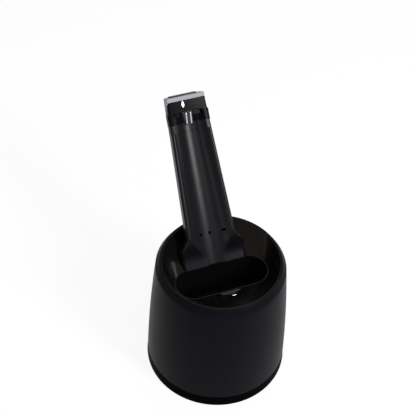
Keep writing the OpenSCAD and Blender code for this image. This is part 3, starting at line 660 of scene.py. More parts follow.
class STATION_OT_housing_shell(bpy.types.Operator):
    """Models the matt housing wall with its bevelled rim band"""
    bl_idname = "station.housing_shell"
    bl_label = "Housing shell"

    def execute(self, context):
        size = housing()
        steps = 20
        wall_height = size.shoulder_height - size.shell_foot
        heights = [size.shell_foot + wall_height * i / steps for i in range(steps + 1)]
        outside = [(side_radius(z), z) for z in heights]
        outside[0] = (outside[0][0], outside[0][1] + 0.5 * MM)
        outside.insert(0, (outside[0][0] - 0.5 * MM, size.shell_foot))
        top_in = size.rim_radius
        band = [(size.shoulder_radius - 0.45 * MM, size.shoulder_height + 0.75 * MM),
                (size.shoulder_radius - 1.3 * MM, size.shoulder_height + 2.2 * MM),
                (size.shoulder_radius - 2.3 * MM, size.shoulder_height + 3.8 * MM),
                (top_in + 1.2 * MM, size.rim_height - 0.8 * MM),
                (top_in + 0.7 * MM, size.rim_height - 0.15 * MM), (top_in + 0.4 * MM, size.rim_height),
                (top_in + 0.1 * MM, size.rim_height - 0.2 * MM), (top_in, size.rim_height - BOWL_DROP),
                (top_in, size.shoulder_height + 0.6 * MM)]
        inside = [(side_radius(z) - size.wall, z) for z in reversed(heights[:-1])]
        inside[-1] = (inside[-1][0], size.shell_foot)
        shell = turned("housing_wall", outside + band + inside)
        cut(shell, bay_cutter("bay", 0, size.guide_half_width))
        slack = 0.35 * MM
        low, high = corners("lift_button")
        button_x, button_z = (high.x - low.x) / 2 + slack, (high.z - low.z) / 2 + slack
        inlet_x, inlet_z = 7.65 * MM, 4.65 * MM
        for name, node_name, half_x, half_z, corner in (
                ("button_window", "lift_button", button_x, button_z, 4.3 * MM),
                ("inlet_window", "power_inlet", inlet_x, inlet_z, 3.1 * MM)):
            low, high = corners(node_name)
            window = rounded_block(name, (2 * half_x, 2 * half_z, 40 * MM), (0, 0, 0), corner)
            face_front(window, (0, 60 * MM, (low.z + high.z) / 2))
            cut(shell, window)
        clean(shell)
        dress(shell, matt_shell(), "housing", "housing_shell", "bay_guides", slot="matte_black")
        return {"FINISHED"}


class STATION_OT_base(bpy.types.Operator):
    """Models the deep black base ring and tray"""
    bl_idname = "station.base"
    bl_label = "Base ring and tray"

    def execute(self, context):
        size = housing()
        radius, top = size.base_radius, size.base_height
        wall_in = radius - size.wall - 0.3 * MM
        lip_in = radius - 4.7 * MM
        low, floor, deck = 0.4 * MM, MM, 4 * MM
        centre, skin = 0.2 * MM, radius - 0.1 * MM
        boss_radius, hole_radius, well_radius = 4.2 * MM, 2.55 * MM, 3.1 * MM
        rail_thickness, rail_height, rail_level = 1.8 * MM, 7.5 * MM, deck + 3.25 * MM
        stop_x, stop_y = 14 * MM, -47.9 * MM
        foot = arc((radius - 0.4 * MM, low + 0.9 * MM), 0.9 * MM, -90, 5, 6)
        profile = [(centre, floor), (radius - 7.4 * MM, floor), (radius - 6.8 * MM, low)] + foot + [
            (skin, top - 1.2 * MM), (skin, top - 0.5 * MM),
            (radius - 0.5 * MM, top), (wall_in, top),
            (wall_in, top + 2.7 * MM), (wall_in - 0.3 * MM, top + 3 * MM), (lip_in, top + 3 * MM),
            (lip_in, deck), (centre, deck)]
        tray = turned("base_tray_piece", profile)
        cut(tray, rounded_block("tray_gap", (2 * size.bay_half_width, 40 * MM, 60 * MM),
                                (0, 50 * MM, deck + 30 * MM), 0.5 * MM, steps=1))
        rod_x = corners("guide_rods")[1].x - 2.5 * MM
        rail_x = size.guide_half_width + 0.6 * MM
        extras = []
        for side in (-1, 1):
            x = side * rod_x
            extras.append(rod("rod_boss", boss_radius, (x, 0, deck - 0.5 * MM), (x, 0, deck + 4 * MM)))
            for y, run in ((-15 * MM, 12 * MM), (22 * MM, 24 * MM)):
                extras.append(rounded_block("rail", (rail_thickness, run, rail_height),
                                            (side * rail_x, y, rail_level), 0.6 * MM))
            extras.append(rounded_block("stop", (8 * MM, 2.8 * MM, rail_height),
                                        (side * stop_x, stop_y, rail_level), 0.8 * MM))
        for extra in extras:
            soften(extra, 0.4 * MM)
            cut(tray, extra, "UNION")
        for side in (-1, 1):
            x = side * rod_x
            cut(tray, rod("rod_hole", hole_radius, (x, 0, 0), (x, 0, 20 * MM)))
            cut(tray, rod("screw_well", well_radius, (x, 0, -1 * MM), (x, 0, 2.5 * MM)))
        clean(tray)
        dress(tray, base_black(), "base", "base_tray", slot="gloss_black")
        return {"FINISHED"}


# ---- bowl ----------------------------------------------------------------------------------------


def oval(grow, height):
    """The two rings of an oval that is grown from the basin's outline, for a wrapped body."""
    size = housing()
    half_width = size.basin_half_width
    pull = size.basin_half_length - half_width
    return [(half_width + grow, (side * pull, -size.basin_forward, height), 96) for side in (-1, 1)]


SENSOR_Y = -8.8  # mm along the cradle's slope, in front of its foot
SENSOR_CORNER = 1.2 * MM


def cradle_frame():
    """Where the funnel's front slope leaves the basin's edge, and the angle at which it rises."""
    size = housing()
    rise = size.rim_height - BOWL_DROP - size.basin_edge
    run = size.rim_radius - 1.75 * MM - size.basin_forward - size.basin_half_width - BASIN_LIP
    foot = (1.5 * MM, -size.basin_forward - size.basin_half_width - BASIN_LIP, size.basin_edge)
    return foot, atan2(rise, run)


def on_cradle(piece):
    """Carries a piece from the slope's own frame, z square to it and y into the basin, to its place."""
    foot, tilt = cradle_frame()
    piece.rotation_euler = (-tilt, 0, 0)
    piece.location = foot
    apply_place(piece)


class STATION_OT_bowl(bpy.types.Operator):
    """Models the glossy bowl: a funnel, the deep oval basin and the cradle at its front edge"""
    bl_idname = "station.bowl"
    bl_label = "Bowl"

    def execute(self, context):
        size = housing()
        rim_r, rim_z = size.rim_radius - 0.15 * MM, size.rim_height - BOWL_DROP
        edge_z, floor_z, skin = size.basin_edge, size.basin_floor, 2.2 * MM
        pipe_wall, pipe_low, hose_radius, hose_x = 1.5 * MM, 57.1 * MM, 3.05 * MM, -8 * MM
        seat_width, seat_depth, seat_y = 58 * MM, 23.5 * MM, 21.4 * MM
        middle_y = -size.basin_forward
        bowl = wrapped("bowl_piece", [(rim_r, (0, 0, z), SHELL_SIDES) for z in (rim_z - 5 * MM, rim_z)]
                       + oval(skin + 3 * MM, edge_z - skin - 1.2 * MM))
        pot = wrapped("pot", oval(skin, edge_z - 2 * MM) + oval(skin - size.basin_draft, floor_z - skin))
        cut(bowl, pot, "UNION")
        seat = rounded_block("tower_seat", (seat_width, seat_depth, 4 * MM),
                             (0, seat_y, edge_z - 1.9 * MM), 2 * MM)
        cut(bowl, seat, "UNION")
        pipe = rod("drain_pipe", size.drain_radius + pipe_wall, (0, middle_y, pipe_low),
                   (0, middle_y, floor_z - MM))
        cut(bowl, pipe, "UNION")
        mouth = (rim_r - 0.6 * MM, (0, 0, rim_z + 0.5 * MM), SHELL_SIDES)
        cut(bowl, wrapped("funnel", [mouth] + oval(BASIN_LIP, edge_z)))
        basin = wrapped("basin", oval(0, edge_z + 7 * MM) + oval(0, edge_z - 0.4 * MM)
                        + oval(-size.basin_draft, floor_z))
        soften(basin, 3.6 * MM, segments=6, angle=60)
        cut(bowl, basin)
        self.cradle(bowl)
        cut(bowl, rod("drain_bore", size.drain_radius, (0, middle_y, 50 * MM),
                      (0, middle_y, floor_z + 5 * MM)))
        hose_hole = rod("hose_hole", hose_radius, (0, 0, 0), (0, 0, 28 * MM))
        face_front(hose_hole, (hose_x, middle_y - 2 * MM, corners("delivery_hose")[1].z - 3 * MM))
        cut(bowl, hose_hole)
        room = loft("tower_room", [(level, whole_section(w, depth, edge, 0.15 * MM))
                                   for level, w, depth, edge in tower_levels()])
        lean_back(room)
        slice_off(room, (0, 0, tower().foot_height - 0.1 * MM), (0, 0, -1))
        cut(bowl, room)
        clean(bowl)
        soften(bowl, 0.35 * MM, segments=3, angle=28)
        dress(bowl, bowl_black(), "housing", "bowl", slot="gloss_black", angle=40)
        return {"FINISHED"}

    def cradle(self, bowl):
        """Cuts the trough for the shaver's nose, closed by a round lip, and the pocket of the sensor."""
        radius, depth, run = 20 * MM, 2.4 * MM, 13 * MM
        lip, draft = 1.3 * MM, radians(14)
        trough = rod("trough", radius, (0, 0, 0), (0, 0, run), sides=128)
        face_front(trough)
        slice_off(trough, (0, -lip, depth - radius), (0, cos(draft), -sin(draft)))
        soften(trough, 0.5 * MM, segments=4, angle=60)
        shift_piece(trough, (0, 0, radius - depth))
        on_cradle(trough)
        cut(bowl, trough)
        pocket = rounded_block("sensor_pocket", (7.1 * MM, 8.5 * MM, 8 * MM),
                               (0, SENSOR_Y * MM, 0.45 * MM), SENSOR_CORNER)
        on_cradle(pocket)
        cut(bowl, pocket)


class STATION_OT_sensor(bpy.types.Operator):
    """Models the small window in the cradle and its two bright bars"""
    bl_idname = "station.sensor"
    bl_label = "Sensor"

    def execute(self, context):
        level, bar_x, bar_step = -2.3 * MM, 0.9 * MM, 3
        window = rounded_block("window_piece", (7 * MM, 8.4 * MM, 1.6 * MM),
                               (0, SENSOR_Y * MM, level - 0.4 * MM), SENSOR_CORNER)
        bars = []
        for step in (-bar_step, bar_step):
            place = (bar_x, (step + SENSOR_Y) * MM, level - 0.2 * MM)
            cut(window, rounded_block("bar_slot", (4.1 * MM, 1.7 * MM, 1.6 * MM), place, 0.2 * MM, steps=2))
            bar = rounded_block("bar", (4 * MM, 1.6 * MM, 1.5 * MM), place, 0.3 * MM, steps=3)
            soften(bar, 0.28 * MM, segments=3, angle=50)
            bars.append(bar)
        soften(window, 0.2 * MM, segments=2, angle=40)
        bars = join("bars_piece", bars)
        for piece in (window, bars):
            on_cradle(piece)
        dress(window, gloss_black(), "housing", "sensor_window", slot="gloss_black")
        dress(bars, bright_metal(), "housing", "sensor_bars", slot="contact_metal")
        return {"FINISHED"}


# ---- tower ---------------------------------------------------------------------------------------


def half_width(level):
    size = tower()
    return size.half_width_low + (size.half_width_top - size.half_width_low) * level / size.top


def edge_radius(level):
    """Radius of a flange's outer edge, a little over half the flange."""
    size = tower()
    return 0.55 * size.flange * half_width(level) / size.half_width_low


def smooth(t):
    """Eases from 0 to 1."""
    t = min(max(t, 0), 1)
    return 3 * t * t - 2 * t ** 3


def tower_levels():
    """Level, half width, front depth and edge radius along the tower, from its foot to the head."""
    size = tower()
    flare_run, fade_run, foot_depth = 14 * MM, 21 * MM, 0.9 * MM
    foot_steps, steps = 18, 8
    reach = (size.slots_height - size.foot_height) / cos(size.lean) + 14 * MM
    rows = []
    for i in range(foot_steps, 0, -1):
        drop = reach * i / foot_steps
        flare = (size.foot_half_width - size.half_width_low) * smooth(drop / flare_run)
        fade = smooth(drop / fade_run)
        depth = size.channel_depth - (size.channel_depth - foot_depth) * fade
        rows.append((-drop, size.half_width_low + flare, depth, edge_radius(0) + 1.3 * MM * fade))
    top = size.top - size.head - JOINT_GAP
    for level in (top * i / steps for i in range(steps + 1)):
        rows.append((level, half_width(level), size.channel_depth, edge_radius(level)))
    return rows


def back_corners(w, back, steps=10):
    """The two round corners behind, from right to left."""
    corner = TOWER_CORNER
    return (arc((w - corner, back - corner), corner, 0, 90, steps)
            + arc((corner - w, back - corner), corner, 90, 180, steps))


def back_section(w, seam):
    """Section of the back: straight flanks and two round corners, open towards the seam."""
    return [(w, seam)] + back_corners(w, tower().back) + [(-w, seam)]


def channel_line(level, depth, steps=14):
    """The concave channel's line from left to right, and its half width where it meets the flanges."""
    size = tower()
    half = half_width(max(level, 0)) * (1 - size.flange / size.half_width_low)
    radius = (half * half + size.channel_depth ** 2) / (2 * size.channel_depth)
    inner = sqrt(2 * radius * depth - depth * depth)
    spread = degrees(asin(inner / radius)) * 0.93
    return arc((0, -radius), radius, 90 + spread, 90 - spread, steps), inner


def front_section(level, w, depth, edge):
    """Section of the front: seam line, round flange edges and the concave channel between them."""
    channel, inner = channel_line(level, depth)
    lip = 0.9 * MM
    left = [(-w, tower().seam)] + arc((edge - w, edge - depth), edge, 180, 270, 6)
    left += [(-inner - lip * 0.9, -depth), (-inner - lip * 0.15, -depth + 0.14 * MM)]
    return left + channel + [(-x, y) for x, y in reversed(left)]


def whole_section(w, depth, edge, grow=0):
    """Section of the whole tower: round corners behind, round flange edges in front."""
    w, depth = w + grow, depth + grow
    return (back_corners(w, tower().back + grow) + arc((edge - w, edge - depth), edge, 180, 270, 5)
            + arc((w - edge, edge - depth), edge, 270, 360, 5))


def loft(name, rings):
    """A closed body over rings of (level, section), all with equally many points."""
    loops = []
    for level, section in rings:
        loops.append(chain("loop", [(x, y, level) for x, y in section]))
        leave_edit_mode()
    piece = join(name, loops)
    edit(piece)
    take_all()
    bpy.ops.mesh.bridge_edge_loops()
    take_all()
    bpy.ops.mesh.fill_holes(sides=0)
    face_out()
    return piece


class STATION_OT_tower(bpy.types.Operator):
    """Models the tower's front shell with its channel, and its back shell"""
    bl_idname = "station.tower"
    bl_label = "Tower shells"

    def execute(self, context):
        size = tower()
        levels = tower_levels()
        slot_width, slot_height, slot_x, hole_radius = 6.4 * MM, 2.2 * MM, 10 * MM, 1.3 * MM
        front = loft("tower_front_piece", [(row[0], front_section(*row)) for row in levels])
        for side in (-1, 1):
            slot_hole = rounded_block("slot", (slot_width, slot_height, 20 * MM), (0, 0, 0),
                                      0.5 * MM, steps=2)
            face_front(slot_hole, (side * slot_x, 0, 0))
            cut(front, slot_hole)
        hole = rod("middle_hole", hole_radius, (0, 0, -10 * MM), (0, 0, 10 * MM), sides=32)
        face_front(hole)
        cut(front, hole)
        back = loft("tower_back_piece", [(row[0], back_section(row[1] - 0.05 * MM, size.seam + JOINT_GAP))
                                         for row in levels])
        for piece, finish, node_name, slot in ((front, satin_tower(), "tower_front", "tower_black"),
                                               (back, gloss_black(), "tower_back", "gloss_black")):
            lean_back(piece)
            slice_off(piece, (0, 0, size.foot_height), (0, 0, -1))
            clean(piece)
            soften(piece, 0.25 * MM, segments=2, angle=40)
            dress(piece, finish, "housing", node_name, slot=slot, angle=40)
        return {"FINISHED"}


class STATION_OT_head(bpy.types.Operator):
    """Models the black head with its hood, the silver cap and the start button"""
    bl_idname = "station.head"
    bl_label = "Head, cap and start button"
    skirt = 3.3 * MM
    button_y, button_corner = 4.5 * MM, 2 * MM

    def execute(self, context):
        size = tower()
        low_level, high_level = size.top - size.head, size.top - size.cap - JOINT_GAP
        roof = high_level - size.hood
        head = loft("head_piece", [(level, self.outline(level)) for level in (low_level, high_level)])
        rings = []
        for level in (low_level - 5 * MM, roof):
            channel, inner = channel_line(level, size.channel_depth)
            rings.append((level, [(-inner, -12 * MM)] + channel + [(inner, -12 * MM)]))
        hollow = loft("hollow", rings)
        soften(hollow, 2.2 * MM, segments=4, angle=60)
        cut(head, hollow)
        self.lip(head, roof)
        for side in (-1, 1):
            cheek = rounded_block("cheek", (2.4 * MM, 7 * MM, 10 * MM), (0, 0, 0), 1 * MM)
            soften(cheek, 0.8 * MM, segments=3, angle=50)
            shift_piece(cheek, (side * (half_width(roof) - 0.3 * MM), -0.8 * MM, roof - 5.5 * MM))
            cut(head, cheek, "UNION")
        self.lens(head, size.top - self.skirt)
        clean(head)
        soften(head, 0.3 * MM, segments=2, angle=40)
        channel_top = roof - 9.5 * MM
        edit(head)
        take_all()
        bpy.ops.mesh.bisect(plane_co=(0, 0, channel_top), plane_no=(0, 0, 1))
        lean_back(head)
        dress(head, head_black(), "housing", "head_shell", slot="gloss_black", angle=40)
        self.channel_end(head, channel_top)
        self.cap()
        self.button()
        return {"FINISHED"}

    def channel_end(self, head, level):
        """Gives the lower end of the channel, up to a level, the tower's satin finish."""
        size = tower()
        way_up = Vector((0, sin(size.lean), cos(size.lean)))
        origin = Vector((0, size.slots_back, size.slots_height))
        edit(head)
        bpy.ops.mesh.select_mode(type="FACE")
        bpy.ops.mesh.select_all(action="DESELECT")
        ahead = Vector((0, -cos(size.lean), sin(size.lean)))
        mesh = bmesh.from_edit_mesh(head.data)
        for face in mesh.faces:
            place = face.calc_center_median() - origin
            face.select = place.dot(way_up) < level and face.normal.dot(ahead) > 0.6
        bmesh.update_edit_mesh(head.data)
        head.data.materials.append(satin_tower())
        head.active_material_index = 1
        bpy.ops.object.material_slot_assign()
        leave_edit_mode()

    def outline(self, level, grow=0):
        """The head's section at a level."""
        return whole_section(half_width(level), tower().channel_depth, edge_radius(level), grow)

    def lip(self, head, roof):
        """Cuts the hood's lower lip to an arch over the plug."""
        radius, rise = 18 * MM, 2.4 * MM
        arch = rod("arch", radius, (0, 0, 0), (0, 0, 20 * MM), sides=160)
        face_front(arch, (0, 0, roof - radius + rise))
        reach = channel_line(roof, tower().channel_depth)[1] - 1.5 * MM
        slice_off(arch, (0, 0, roof - 4 * MM), (0, 0, -1))
        for side in (-1, 1):
            slice_off(arch, (side * reach, 0, 0), (side, 0, 0))
        cut(head, arch)

    def lens(self, head, tip_level):
        """Slender status light, pointed at both ends, that hangs under the cap."""
        tall, half = 6.4 * MM, 1.15 * MM
        steps = 14
        for name, grow, inner, outer in (("lens_well", 0.14 * MM, 0.6 * MM, 2 * MM),
                                         ("lens_piece", 0, 0.5 * MM, 0.2 * MM)):
            side = [((half + grow) * sin(pi * t ** 1.25) ** 1.15, -tall * t)
                    for t in (i / steps for i in range(1, steps))]
            outline = [(0, grow)] + side + [(0, -tall - grow)] + [(-x, y) for x, y in reversed(side)]
            lens = prism(name, outline, -inner, outer)
            face_front(lens, (-3.3 * MM, -tower().channel_depth, tip_level + 0.3 * MM))
            if name == "lens_well":
                cut(head, lens)
        soften(lens, 0.1 * MM, segments=2, angle=50)
        lean_back(lens)
        dress(lens, light_window(), "housing", "status_lens", slot="lens_white", angle=40)

    def cap(self):
        """Silver cap: a top plate whose sides run back down the head in a wedge."""
        size = tower()
        low_level = size.top - size.head
        skin, inset = 0.22 * MM, 0.9 * MM
        cap = loft("cap_piece", [(level, self.outline(level, skin)) for level in (low_level, size.top)])
        core = loft("core", [
            (level, whole_section(half_width(level) - inset, size.channel_depth, MM, -0.3 * MM))
            for level in (low_level - 5 * MM, size.top - size.cap)])
        cut(cap, core)
        front_top = Vector((0, -size.channel_depth, size.top - self.skirt))
        back_low = Vector((0, size.back + 2 * MM, low_level))
        along = back_low - front_top
        slice_off(cap, front_top, Vector((0, along.z, -along.y)).normalized())
        cut(cap, rounded_block("button_hole", (23.7 * MM, 7.7 * MM, 20 * MM),
                               (0, self.button_y, size.top), self.button_corner))
        soften(cap, 0.35 * MM, segments=3, angle=40)
        lean_back(cap)
        clean(cap)
        dress(cap, silver_paint(), "housing", "head_cap", slot="silver", angle=40)

    def button(self):
        """Thin black start button on the cap, rounded over its edge."""
        size = tower()
        stem = rounded_block("start_piece", (24.2 * MM, 8 * MM, 1.4 * MM),
                             (0, self.button_y, size.top - 2.6 * MM), self.button_corner)
        key = rounded_block("key", (23 * MM, 7 * MM, 2.9 * MM),
                            (0, self.button_y, size.top - 0.45 * MM), self.button_corner, steps=8)
        soften(key, 0.5 * MM, segments=3, angle=50)
        stem = join("start_piece", [stem, key])
        lean_back(stem)
        dress(stem, gloss_black(), "start_key", "start_button", slot="gloss_black")


class STATION_OT_plug(bpy.types.Operator):
    """Models the contact plug under the hood and its two bright contacts"""
    bl_idname = "station.plug"
    bl_label = "Contact plug and contacts"

    def execute(self, context):
        size = tower()
        high = size.top - size.cap - JOINT_GAP - size.hood
        tall, thin, thick, axis_y = 11.4 * MM, 4.1 * MM, 7 * MM, 2 * MM
        contact_x, contact_radius, contact_half = 1.9 * MM, 0.85 * MM, 5 * MM
        deselect()
        bpy.ops.mesh.primitive_cone_add(vertices=72, radius1=thin, radius2=thick, depth=tall,
                                        location=(0, axis_y, high - tall / 2))
        plug = start("plug_piece")
        leave_edit_mode()
        apply_place(plug)
        slice_off(plug, (0, 1.9 * MM, 0), (0, 1, 0))
        slope = atan2(2.9 * MM, tall)
        for side, body, name in ((-1, "left_contact", "contact_left"),
                                 (1, "right_contact", "contact_right")):
            spot = Vector((side * contact_x, axis_y - 5.55 * MM + 0.6 * MM, high - tall / 2))
            groove = rounded_block("groove", (1.84 * MM, 4.1 * MM, 10.4 * MM),
                                   (0, -0.15 * MM, 0), 0.3 * MM, steps=2)
            turn_piece(groove, slope, "X")
            shift_piece(groove, spot)
            cut(plug, groove)
            contact = rod(f"{name}_piece", contact_radius, (0, 0, -contact_half), (0, 0, contact_half),
                          sides=32)
            soften(contact, 0.45 * MM, segments=4, angle=50)
            turn_piece(contact, slope, "X")
            shift_piece(contact, spot)
            lean_back(contact)
            dress(contact, contact_metal(), body, name, slot="contact_metal")
        soften(plug, 0.35 * MM, segments=3, angle=40)
        lean_back(plug)
        clean(plug)
        dress(plug, plug_black(), "housing", "contact_plug", slot="gloss_black", angle=40)
        return {"FINISHED"}


# ---- controls and cartridge ----------------------------------------------------------------------


def side_plug(name, width, height, corner, level, inner, proud):
    """A rounded block that stands in the housing's back wall and follows its curve."""
    outside = side_radius(level) + proud
    block = rounded_block(name, (width, height, 40 * MM), (0, 0, 0), corner, steps=8)
    face_front(block, (0, inner + 20 * MM, level))
    drum = rod("drum", outside, (0, 0, level - 20 * MM), (0, 0, level + 20 * MM), sides=256)
    cut(block, drum, "INTERSECT")
    return block


class STATION_OT_controls(bpy.types.Operator):
    """Models the lift button with its finger dish, and the power inlet at the back"""
    bl_idname = "station.controls"
    bl_label = "Lift button and power inlet"

    def execute(self, context):
        low, high = corners("lift_button")
        level = (low.z + high.z) / 2
        button = side_plug("lift_piece", high.x - low.x, high.z - low.z, 4 * MM, level, low.y, 0.5 * MM)
        dish_radius, dish_half = 26.4 * MM, 8 * MM
        dish = rod("dish", dish_radius, (0, 0, -dish_half), (0, 0, dish_half), sides=160)
        soften(dish, 1.2 * MM, segments=4, angle=60)
        turn_piece(dish, QUARTER, "Y")
        shift_piece(dish, (0, side_radius(level) + 26 * MM, level))
        cut(button, dish)
        soften(button, 0.45 * MM, segments=4, angle=40)
        for step in (-3.2, -1.6, 0, 1.6, 3.2):     # mm above the button's middle
            rib = rounded_block("rib", (9 * MM, 0.7 * MM, 0.7 * MM), (0, 0, 0), 0.3 * MM, steps=3)
            soften(rib, 0.2 * MM, segments=2, angle=50)
            shift_piece(rib, (0, side_radius(level) - 0.35 * MM, level + step * MM))
            cut(button, rib, "UNION")
        dress(button, gloss_black(), "latch", "lift_button", slot="gloss_black", angle=40)
        self.inlet()
        return {"FINISHED"}

    def inlet(self):
        low, high = corners("power_inlet")
        level = (low.z + high.z) / 2
        pin_radius, pin_x, bore_half = 0.85 * MM, 3 * MM, 6 * MM
        inlet = side_plug("inlet_piece", 15 * MM, 9 * MM, 3 * MM, level, low.y, 0)
        collar = rounded_block("collar", (19 * MM, 11.6 * MM, 5.4 * MM), (0, 0, 0), 3 * MM)
        face_front(collar, (0, low.y + 2.7 * MM, level))
        cut(inlet, collar, "UNION")
        mouth = rounded_block("mouth", (11.6 * MM, 5.6 * MM, 20 * MM), (0, 0, 0), 2.4 * MM)
        face_front(mouth, (0, low.y + 13 * MM, level))
        cut(inlet, mouth)
        for side in (-1, 1):
            bore = rod("pin_bore", pin_radius, (0, 0, -bore_half), (0, 0, bore_half), sides=32)
            face_front(bore, (side * pin_x, low.y, level))
            cut(inlet, bore)
        soften(inlet, 0.3 * MM, segments=3, angle=40)
        dress(inlet, gloss_black(), "housing", "power_inlet", slot="gloss_black", angle=40)


def cartridge_outline(inset):
    """Outline of the cartridge seen from above: a round nose in front, the housing's curve behind."""
    half = corners("cartridge_tub")[1].x
    front = 46 * MM
    nose, back = 30 * MM, 59.4 * MM - inset
    centre_x, centre_y = half - nose, nose - front
    radius = nose - inset
    edge_x = half - inset
    turn = degrees(acos(edge_x / back))
    return (arc((-centre_x, centre_y), radius, 180, 270, 16)
            + arc((centre_x, centre_y), radius, 270, 360, 16)
            + arc((0, 0), back, turn, 180 - turn, 40))


class STATION_OT_cartridge(bpy.types.Operator):
    """Models the cartridge: a blue tub with a finger grip and a scoop, and its lid"""
    bl_idname = "station.cartridge"
    bl_label = "Cartridge"

    def execute(self, context):
        low, high = corners("cartridge_tub")
        wall, grip_y, grip_radius = 1.8 * MM, 51.4 * MM, 58.5 * MM
        scoop_radius, scoop_half, scoop_y = 19 * MM, 21 * MM, 66 * MM
        tub = prism("tub_piece", cartridge_outline(0), low.z, high.z)
        soften(tub, 1.2 * MM, segments=4, angle=60)
        cut(tub, prism("tub_room", cartridge_outline(wall), low.z + wall, high.z + 5 * MM))
        block = rounded_block("grip_block", (48 * MM, 15.2 * MM, high.z - low.z - 3 * MM),
                              (0, grip_y, (low.z + high.z) / 2), 2 * MM)
        drum = rod("drum", grip_radius, (0, 0, -MM), (0, 0, 80 * MM), sides=256)
        cut(block, drum, "INTERSECT")
        cut(tub, block, "UNION")
        scoop = rod("scoop", scoop_radius, (0, 0, -scoop_half), (0, 0, scoop_half), sides=128)
        turn_piece(scoop, QUARTER, "Y")
        shift_piece(scoop, (0, scoop_y, low.z + 25 * MM))
        slice_off(scoop, (0, 0, low.z + 34 * MM), (0, 0, 1))
        slice_off(scoop, (0, 0, low.z + 16 * MM), (0, 0, -1))
        slice_off(scoop, (0, 46 * MM, 0), (0, -1, 0))
        soften(scoop, 1.2 * MM, segments=4, angle=50)
        cut(tub, scoop)
        clean(tub)
        soften(tub, 0.35 * MM, segments=2, angle=45)
        dress(tub, cartridge_plastic(), "cartridge", "cartridge_tub", slot="cartridge_blue", angle=40)
        lid_low, lid_high = corners("cartridge_deck")
        lid = prism("lid_piece", cartridge_outline(0), lid_low.z, lid_high.z)
        soften(lid, 0.5 * MM, segments=3, angle=60)
        hole_radius, hole_y = 12 * MM, -housing().basin_forward
        cut(lid, rod("lid_hole", hole_radius, (0, hole_y, 0), (0, hole_y, 80 * MM), sides=96))
        riser = sum(corners("cartridge_riser"), Vector((0, 0, 0))) / 2
        cut(lid, rod("riser_hole", 2.4 * MM, (0, riser.y, 0), (0, riser.y, 80 * MM)))
        soften(lid, 0.25 * MM, segments=2, angle=50)
        dress(lid, cartridge_lid(), "cartridge", "cartridge_deck", slot="cartridge_lid", angle=40)
        return {"FINISHED"}


# ---- stage ---------------------------------------------------------------------------------------


PHOTO_PIXELS = 416
FOCAL_PIXELS = 1100
SENSOR_MM = 36
CAMERA_DISTANCE = 0.949
CAMERA_AZIMUTH = -22.5
CAMERA_ELEVATION = 47.17
CAMERA_ROLL = 3.13
AIM_HEIGHT = 0.05
AIM_PIXEL = (217.5, 313.95)
FLOOR_SIZE = 8
LAMP_AIM = 0.11
# name, azimuth, elevation, distance, width, height, power
LAMPS = (
    ("key", 28.5, 38, 1.3, 0.28, 0.5, 18), ("fill", -1, 36, 1.5, 0.35, 0.4, 2),
    ("left_flange", -30, 28, 1.4, 0.15, 0.5, 1), ("overhead", 150, 70, 1.5, 0.6, 0.6, 6),
    ("left_edge", -105, 25, 1.3, 0.3, 0.8, 2.5), ("right_edge", 82, 10, 1.3, 0.2, 0.8, 3))
FLOOR_WHITE = 0.9  # share of white that the background's rays see on the floor
WORLD_LIGHT, WORLD_WHITE = 0.25, 1.0  # strength for the other rays, and for the background's


def view_from(azimuth, elevation):
    """Direction from the object to a place; azimuth 0 is the front, 90 the right."""
    a, e = radians(azimuth), radians(elevation)
    return Vector((sin(a) * cos(e), -cos(a) * cos(e), sin(e)))


def pale_floor():
    """Pale floor that shows as white and still takes the object's shadow."""
    material = bpy.data.materials.new("pale floor")
    material.use_nodes = True
    tree = material.node_tree
    tree.nodes.clear()
    result = node(tree, "ShaderNodeOutputMaterial")
    matt = node(tree, "ShaderNodeBsdfDiffuse", Color=(*colours().floor, 1))
    white = node(tree, "ShaderNodeEmission", Color=(1, 1, 1, 1), Strength=1.0)
    share = maths(tree, "MULTIPLY", background_rays(tree), FLOOR_WHITE)
    both = node(tree, "ShaderNodeMixShader", Fac=share)
    tree.links.new(matt.outputs[0], both.inputs[1])
    tree.links.new(white.outputs[0], both.inputs[2])
    tree.links.new(both.outputs[0], result.inputs["Surface"])
    return material


def background_rays(tree):
    """1 for the rays that see the background: from the camera, in gloss and through clear parts."""
    path = node(tree, "ShaderNodeLightPath")
    seen = path.outputs["Is Camera Ray"]
    for ray in ("Is Glossy Ray", "Is Transmission Ray"):
        seen = maths(tree, "MAXIMUM", seen, path.outputs[ray])
    return seen


def soft_box(name, azimuth, elevation, distance, width, height, power):
    """An area lamp that looks at the bowl from a direction."""
    way = view_from(azimuth, elevation)
    lamp = bpy.data.lights.new(name, "AREA")
    lamp.shape = "RECTANGLE"
    lamp.size = width
    lamp.size_y = height
    lamp.energy = power
    holder = bpy.data.objects.new(name, lamp)
    holder.location = Vector((0, 0, LAMP_AIM)) + way * distance
    holder.rotation_euler = way.to_track_quat("Z", "Y").to_euler()
    bpy.context.scene.collection.objects.link(holder)


def photo_camera():
    """The photo's camera, placed so that the aim point falls on its pixel."""
    lens = bpy.data.cameras.new("camera")
    lens.sensor_width = SENSOR_MM
    lens.lens = FOCAL_PIXELS / PHOTO_PIXELS * SENSOR_MM
    back = view_from(CAMERA_AZIMUTH, CAMERA_ELEVATION)
    level = Vector((cos(radians(CAMERA_AZIMUTH)), sin(radians(CAMERA_AZIMUTH)), 0))
    upright = back.cross(level)
    roll = radians(CAMERA_ROLL)
    right = cos(roll) * level + sin(roll) * upright
    up = cos(roll) * upright - sin(roll) * level
    across = (AIM_PIXEL[0] - PHOTO_PIXELS / 2) / FOCAL_PIXELS * CAMERA_DISTANCE
    down = (AIM_PIXEL[1] - PHOTO_PIXELS / 2) / FOCAL_PIXELS * CAMERA_DISTANCE
    place = Vector((0, 0, AIM_HEIGHT)) - across * right + down * up + CAMERA_DISTANCE * back
    camera = bpy.data.objects.new("camera", lens)
    camera.matrix_world = Matrix.Translation(place) @ Matrix((right, up, back)).transposed().to_4x4()
    return camera


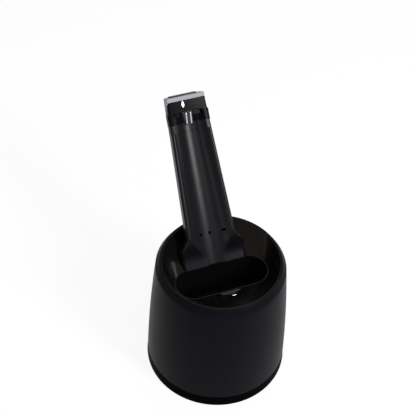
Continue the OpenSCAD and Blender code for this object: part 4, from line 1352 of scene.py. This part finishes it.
class STATION_OT_stage(bpy.types.Operator):
    """Sets the pale floor, the soft lamps and the camera"""
    bl_idname = "station.stage"
    bl_label = "Stage"

    def execute(self, context):
        scene = context.scene
        deselect()
        bpy.ops.mesh.primitive_plane_add(size=FLOOR_SIZE, location=(0, 0, 0))
        floor = context.view_layer.objects.active
        floor.name = "floor"
        floor.data.materials.append(pale_floor())
        for lamp in LAMPS:
            soft_box(*lamp)
        studio = bpy.data.worlds.new("studio")
        studio.use_nodes = True
        tree = studio.node_tree
        light = tree.nodes["Background"]
        light.inputs["Color"].default_value = (1, 1, 1, 1)
        strength = maths(tree, "MULTIPLY_ADD", background_rays(tree),
                         WORLD_WHITE - WORLD_LIGHT, WORLD_LIGHT)
        tree.links.new(strength, light.inputs["Strength"])
        scene.world = studio
        scene.view_settings.view_transform = "Standard"
        camera = photo_camera()
        scene.collection.objects.link(camera)
        scene.camera = camera
        return {"FINISHED"}


# ---- add-on --------------------------------------------------------------------------------------


STEPS = (STATION_OT_stage, STATION_OT_finish_nodes, STATION_OT_housing_shell, STATION_OT_base,
         STATION_OT_bowl, STATION_OT_sensor, STATION_OT_tower, STATION_OT_head, STATION_OT_plug,
         STATION_OT_controls, STATION_OT_cartridge)


class STATION_PT_panel(bpy.types.Panel):
    """Lists the sizes, the colours and the steps"""
    bl_idname = "STATION_PT_panel"
    bl_label = "Cleaning station"
    bl_space_type = "VIEW_3D"
    bl_region_type = "UI"
    bl_category = "Station"

    def draw(self, context):
        layout = self.layout
        for step in STEPS:
            layout.operator(step.bl_idname)
        for group in (housing(), tower(), colours()):
            box = layout.box()
            for key in group.__annotations__:
                box.prop(group, key)


CLASSES = (HousingSizes, TowerSizes, StationColours) + STEPS + (STATION_PT_panel,)


def register():
    for kind in CLASSES:
        bpy.utils.register_class(kind)
    bpy.types.Scene.station_housing = bpy.props.PointerProperty(type=HousingSizes)
    bpy.types.Scene.station_tower = bpy.props.PointerProperty(type=TowerSizes)
    bpy.types.Scene.station_colours = bpy.props.PointerProperty(type=StationColours)


def unregister():
    del bpy.types.Scene.station_colours
    del bpy.types.Scene.station_tower
    del bpy.types.Scene.station_housing
    for kind in reversed(CLASSES):
        bpy.utils.unregister_class(kind)


def main():
    register()
    for step in STEPS:
        group, name = step.bl_idname.split(".")
        getattr(getattr(bpy.ops, group), name)()


if __name__ == "__main__":
    main()
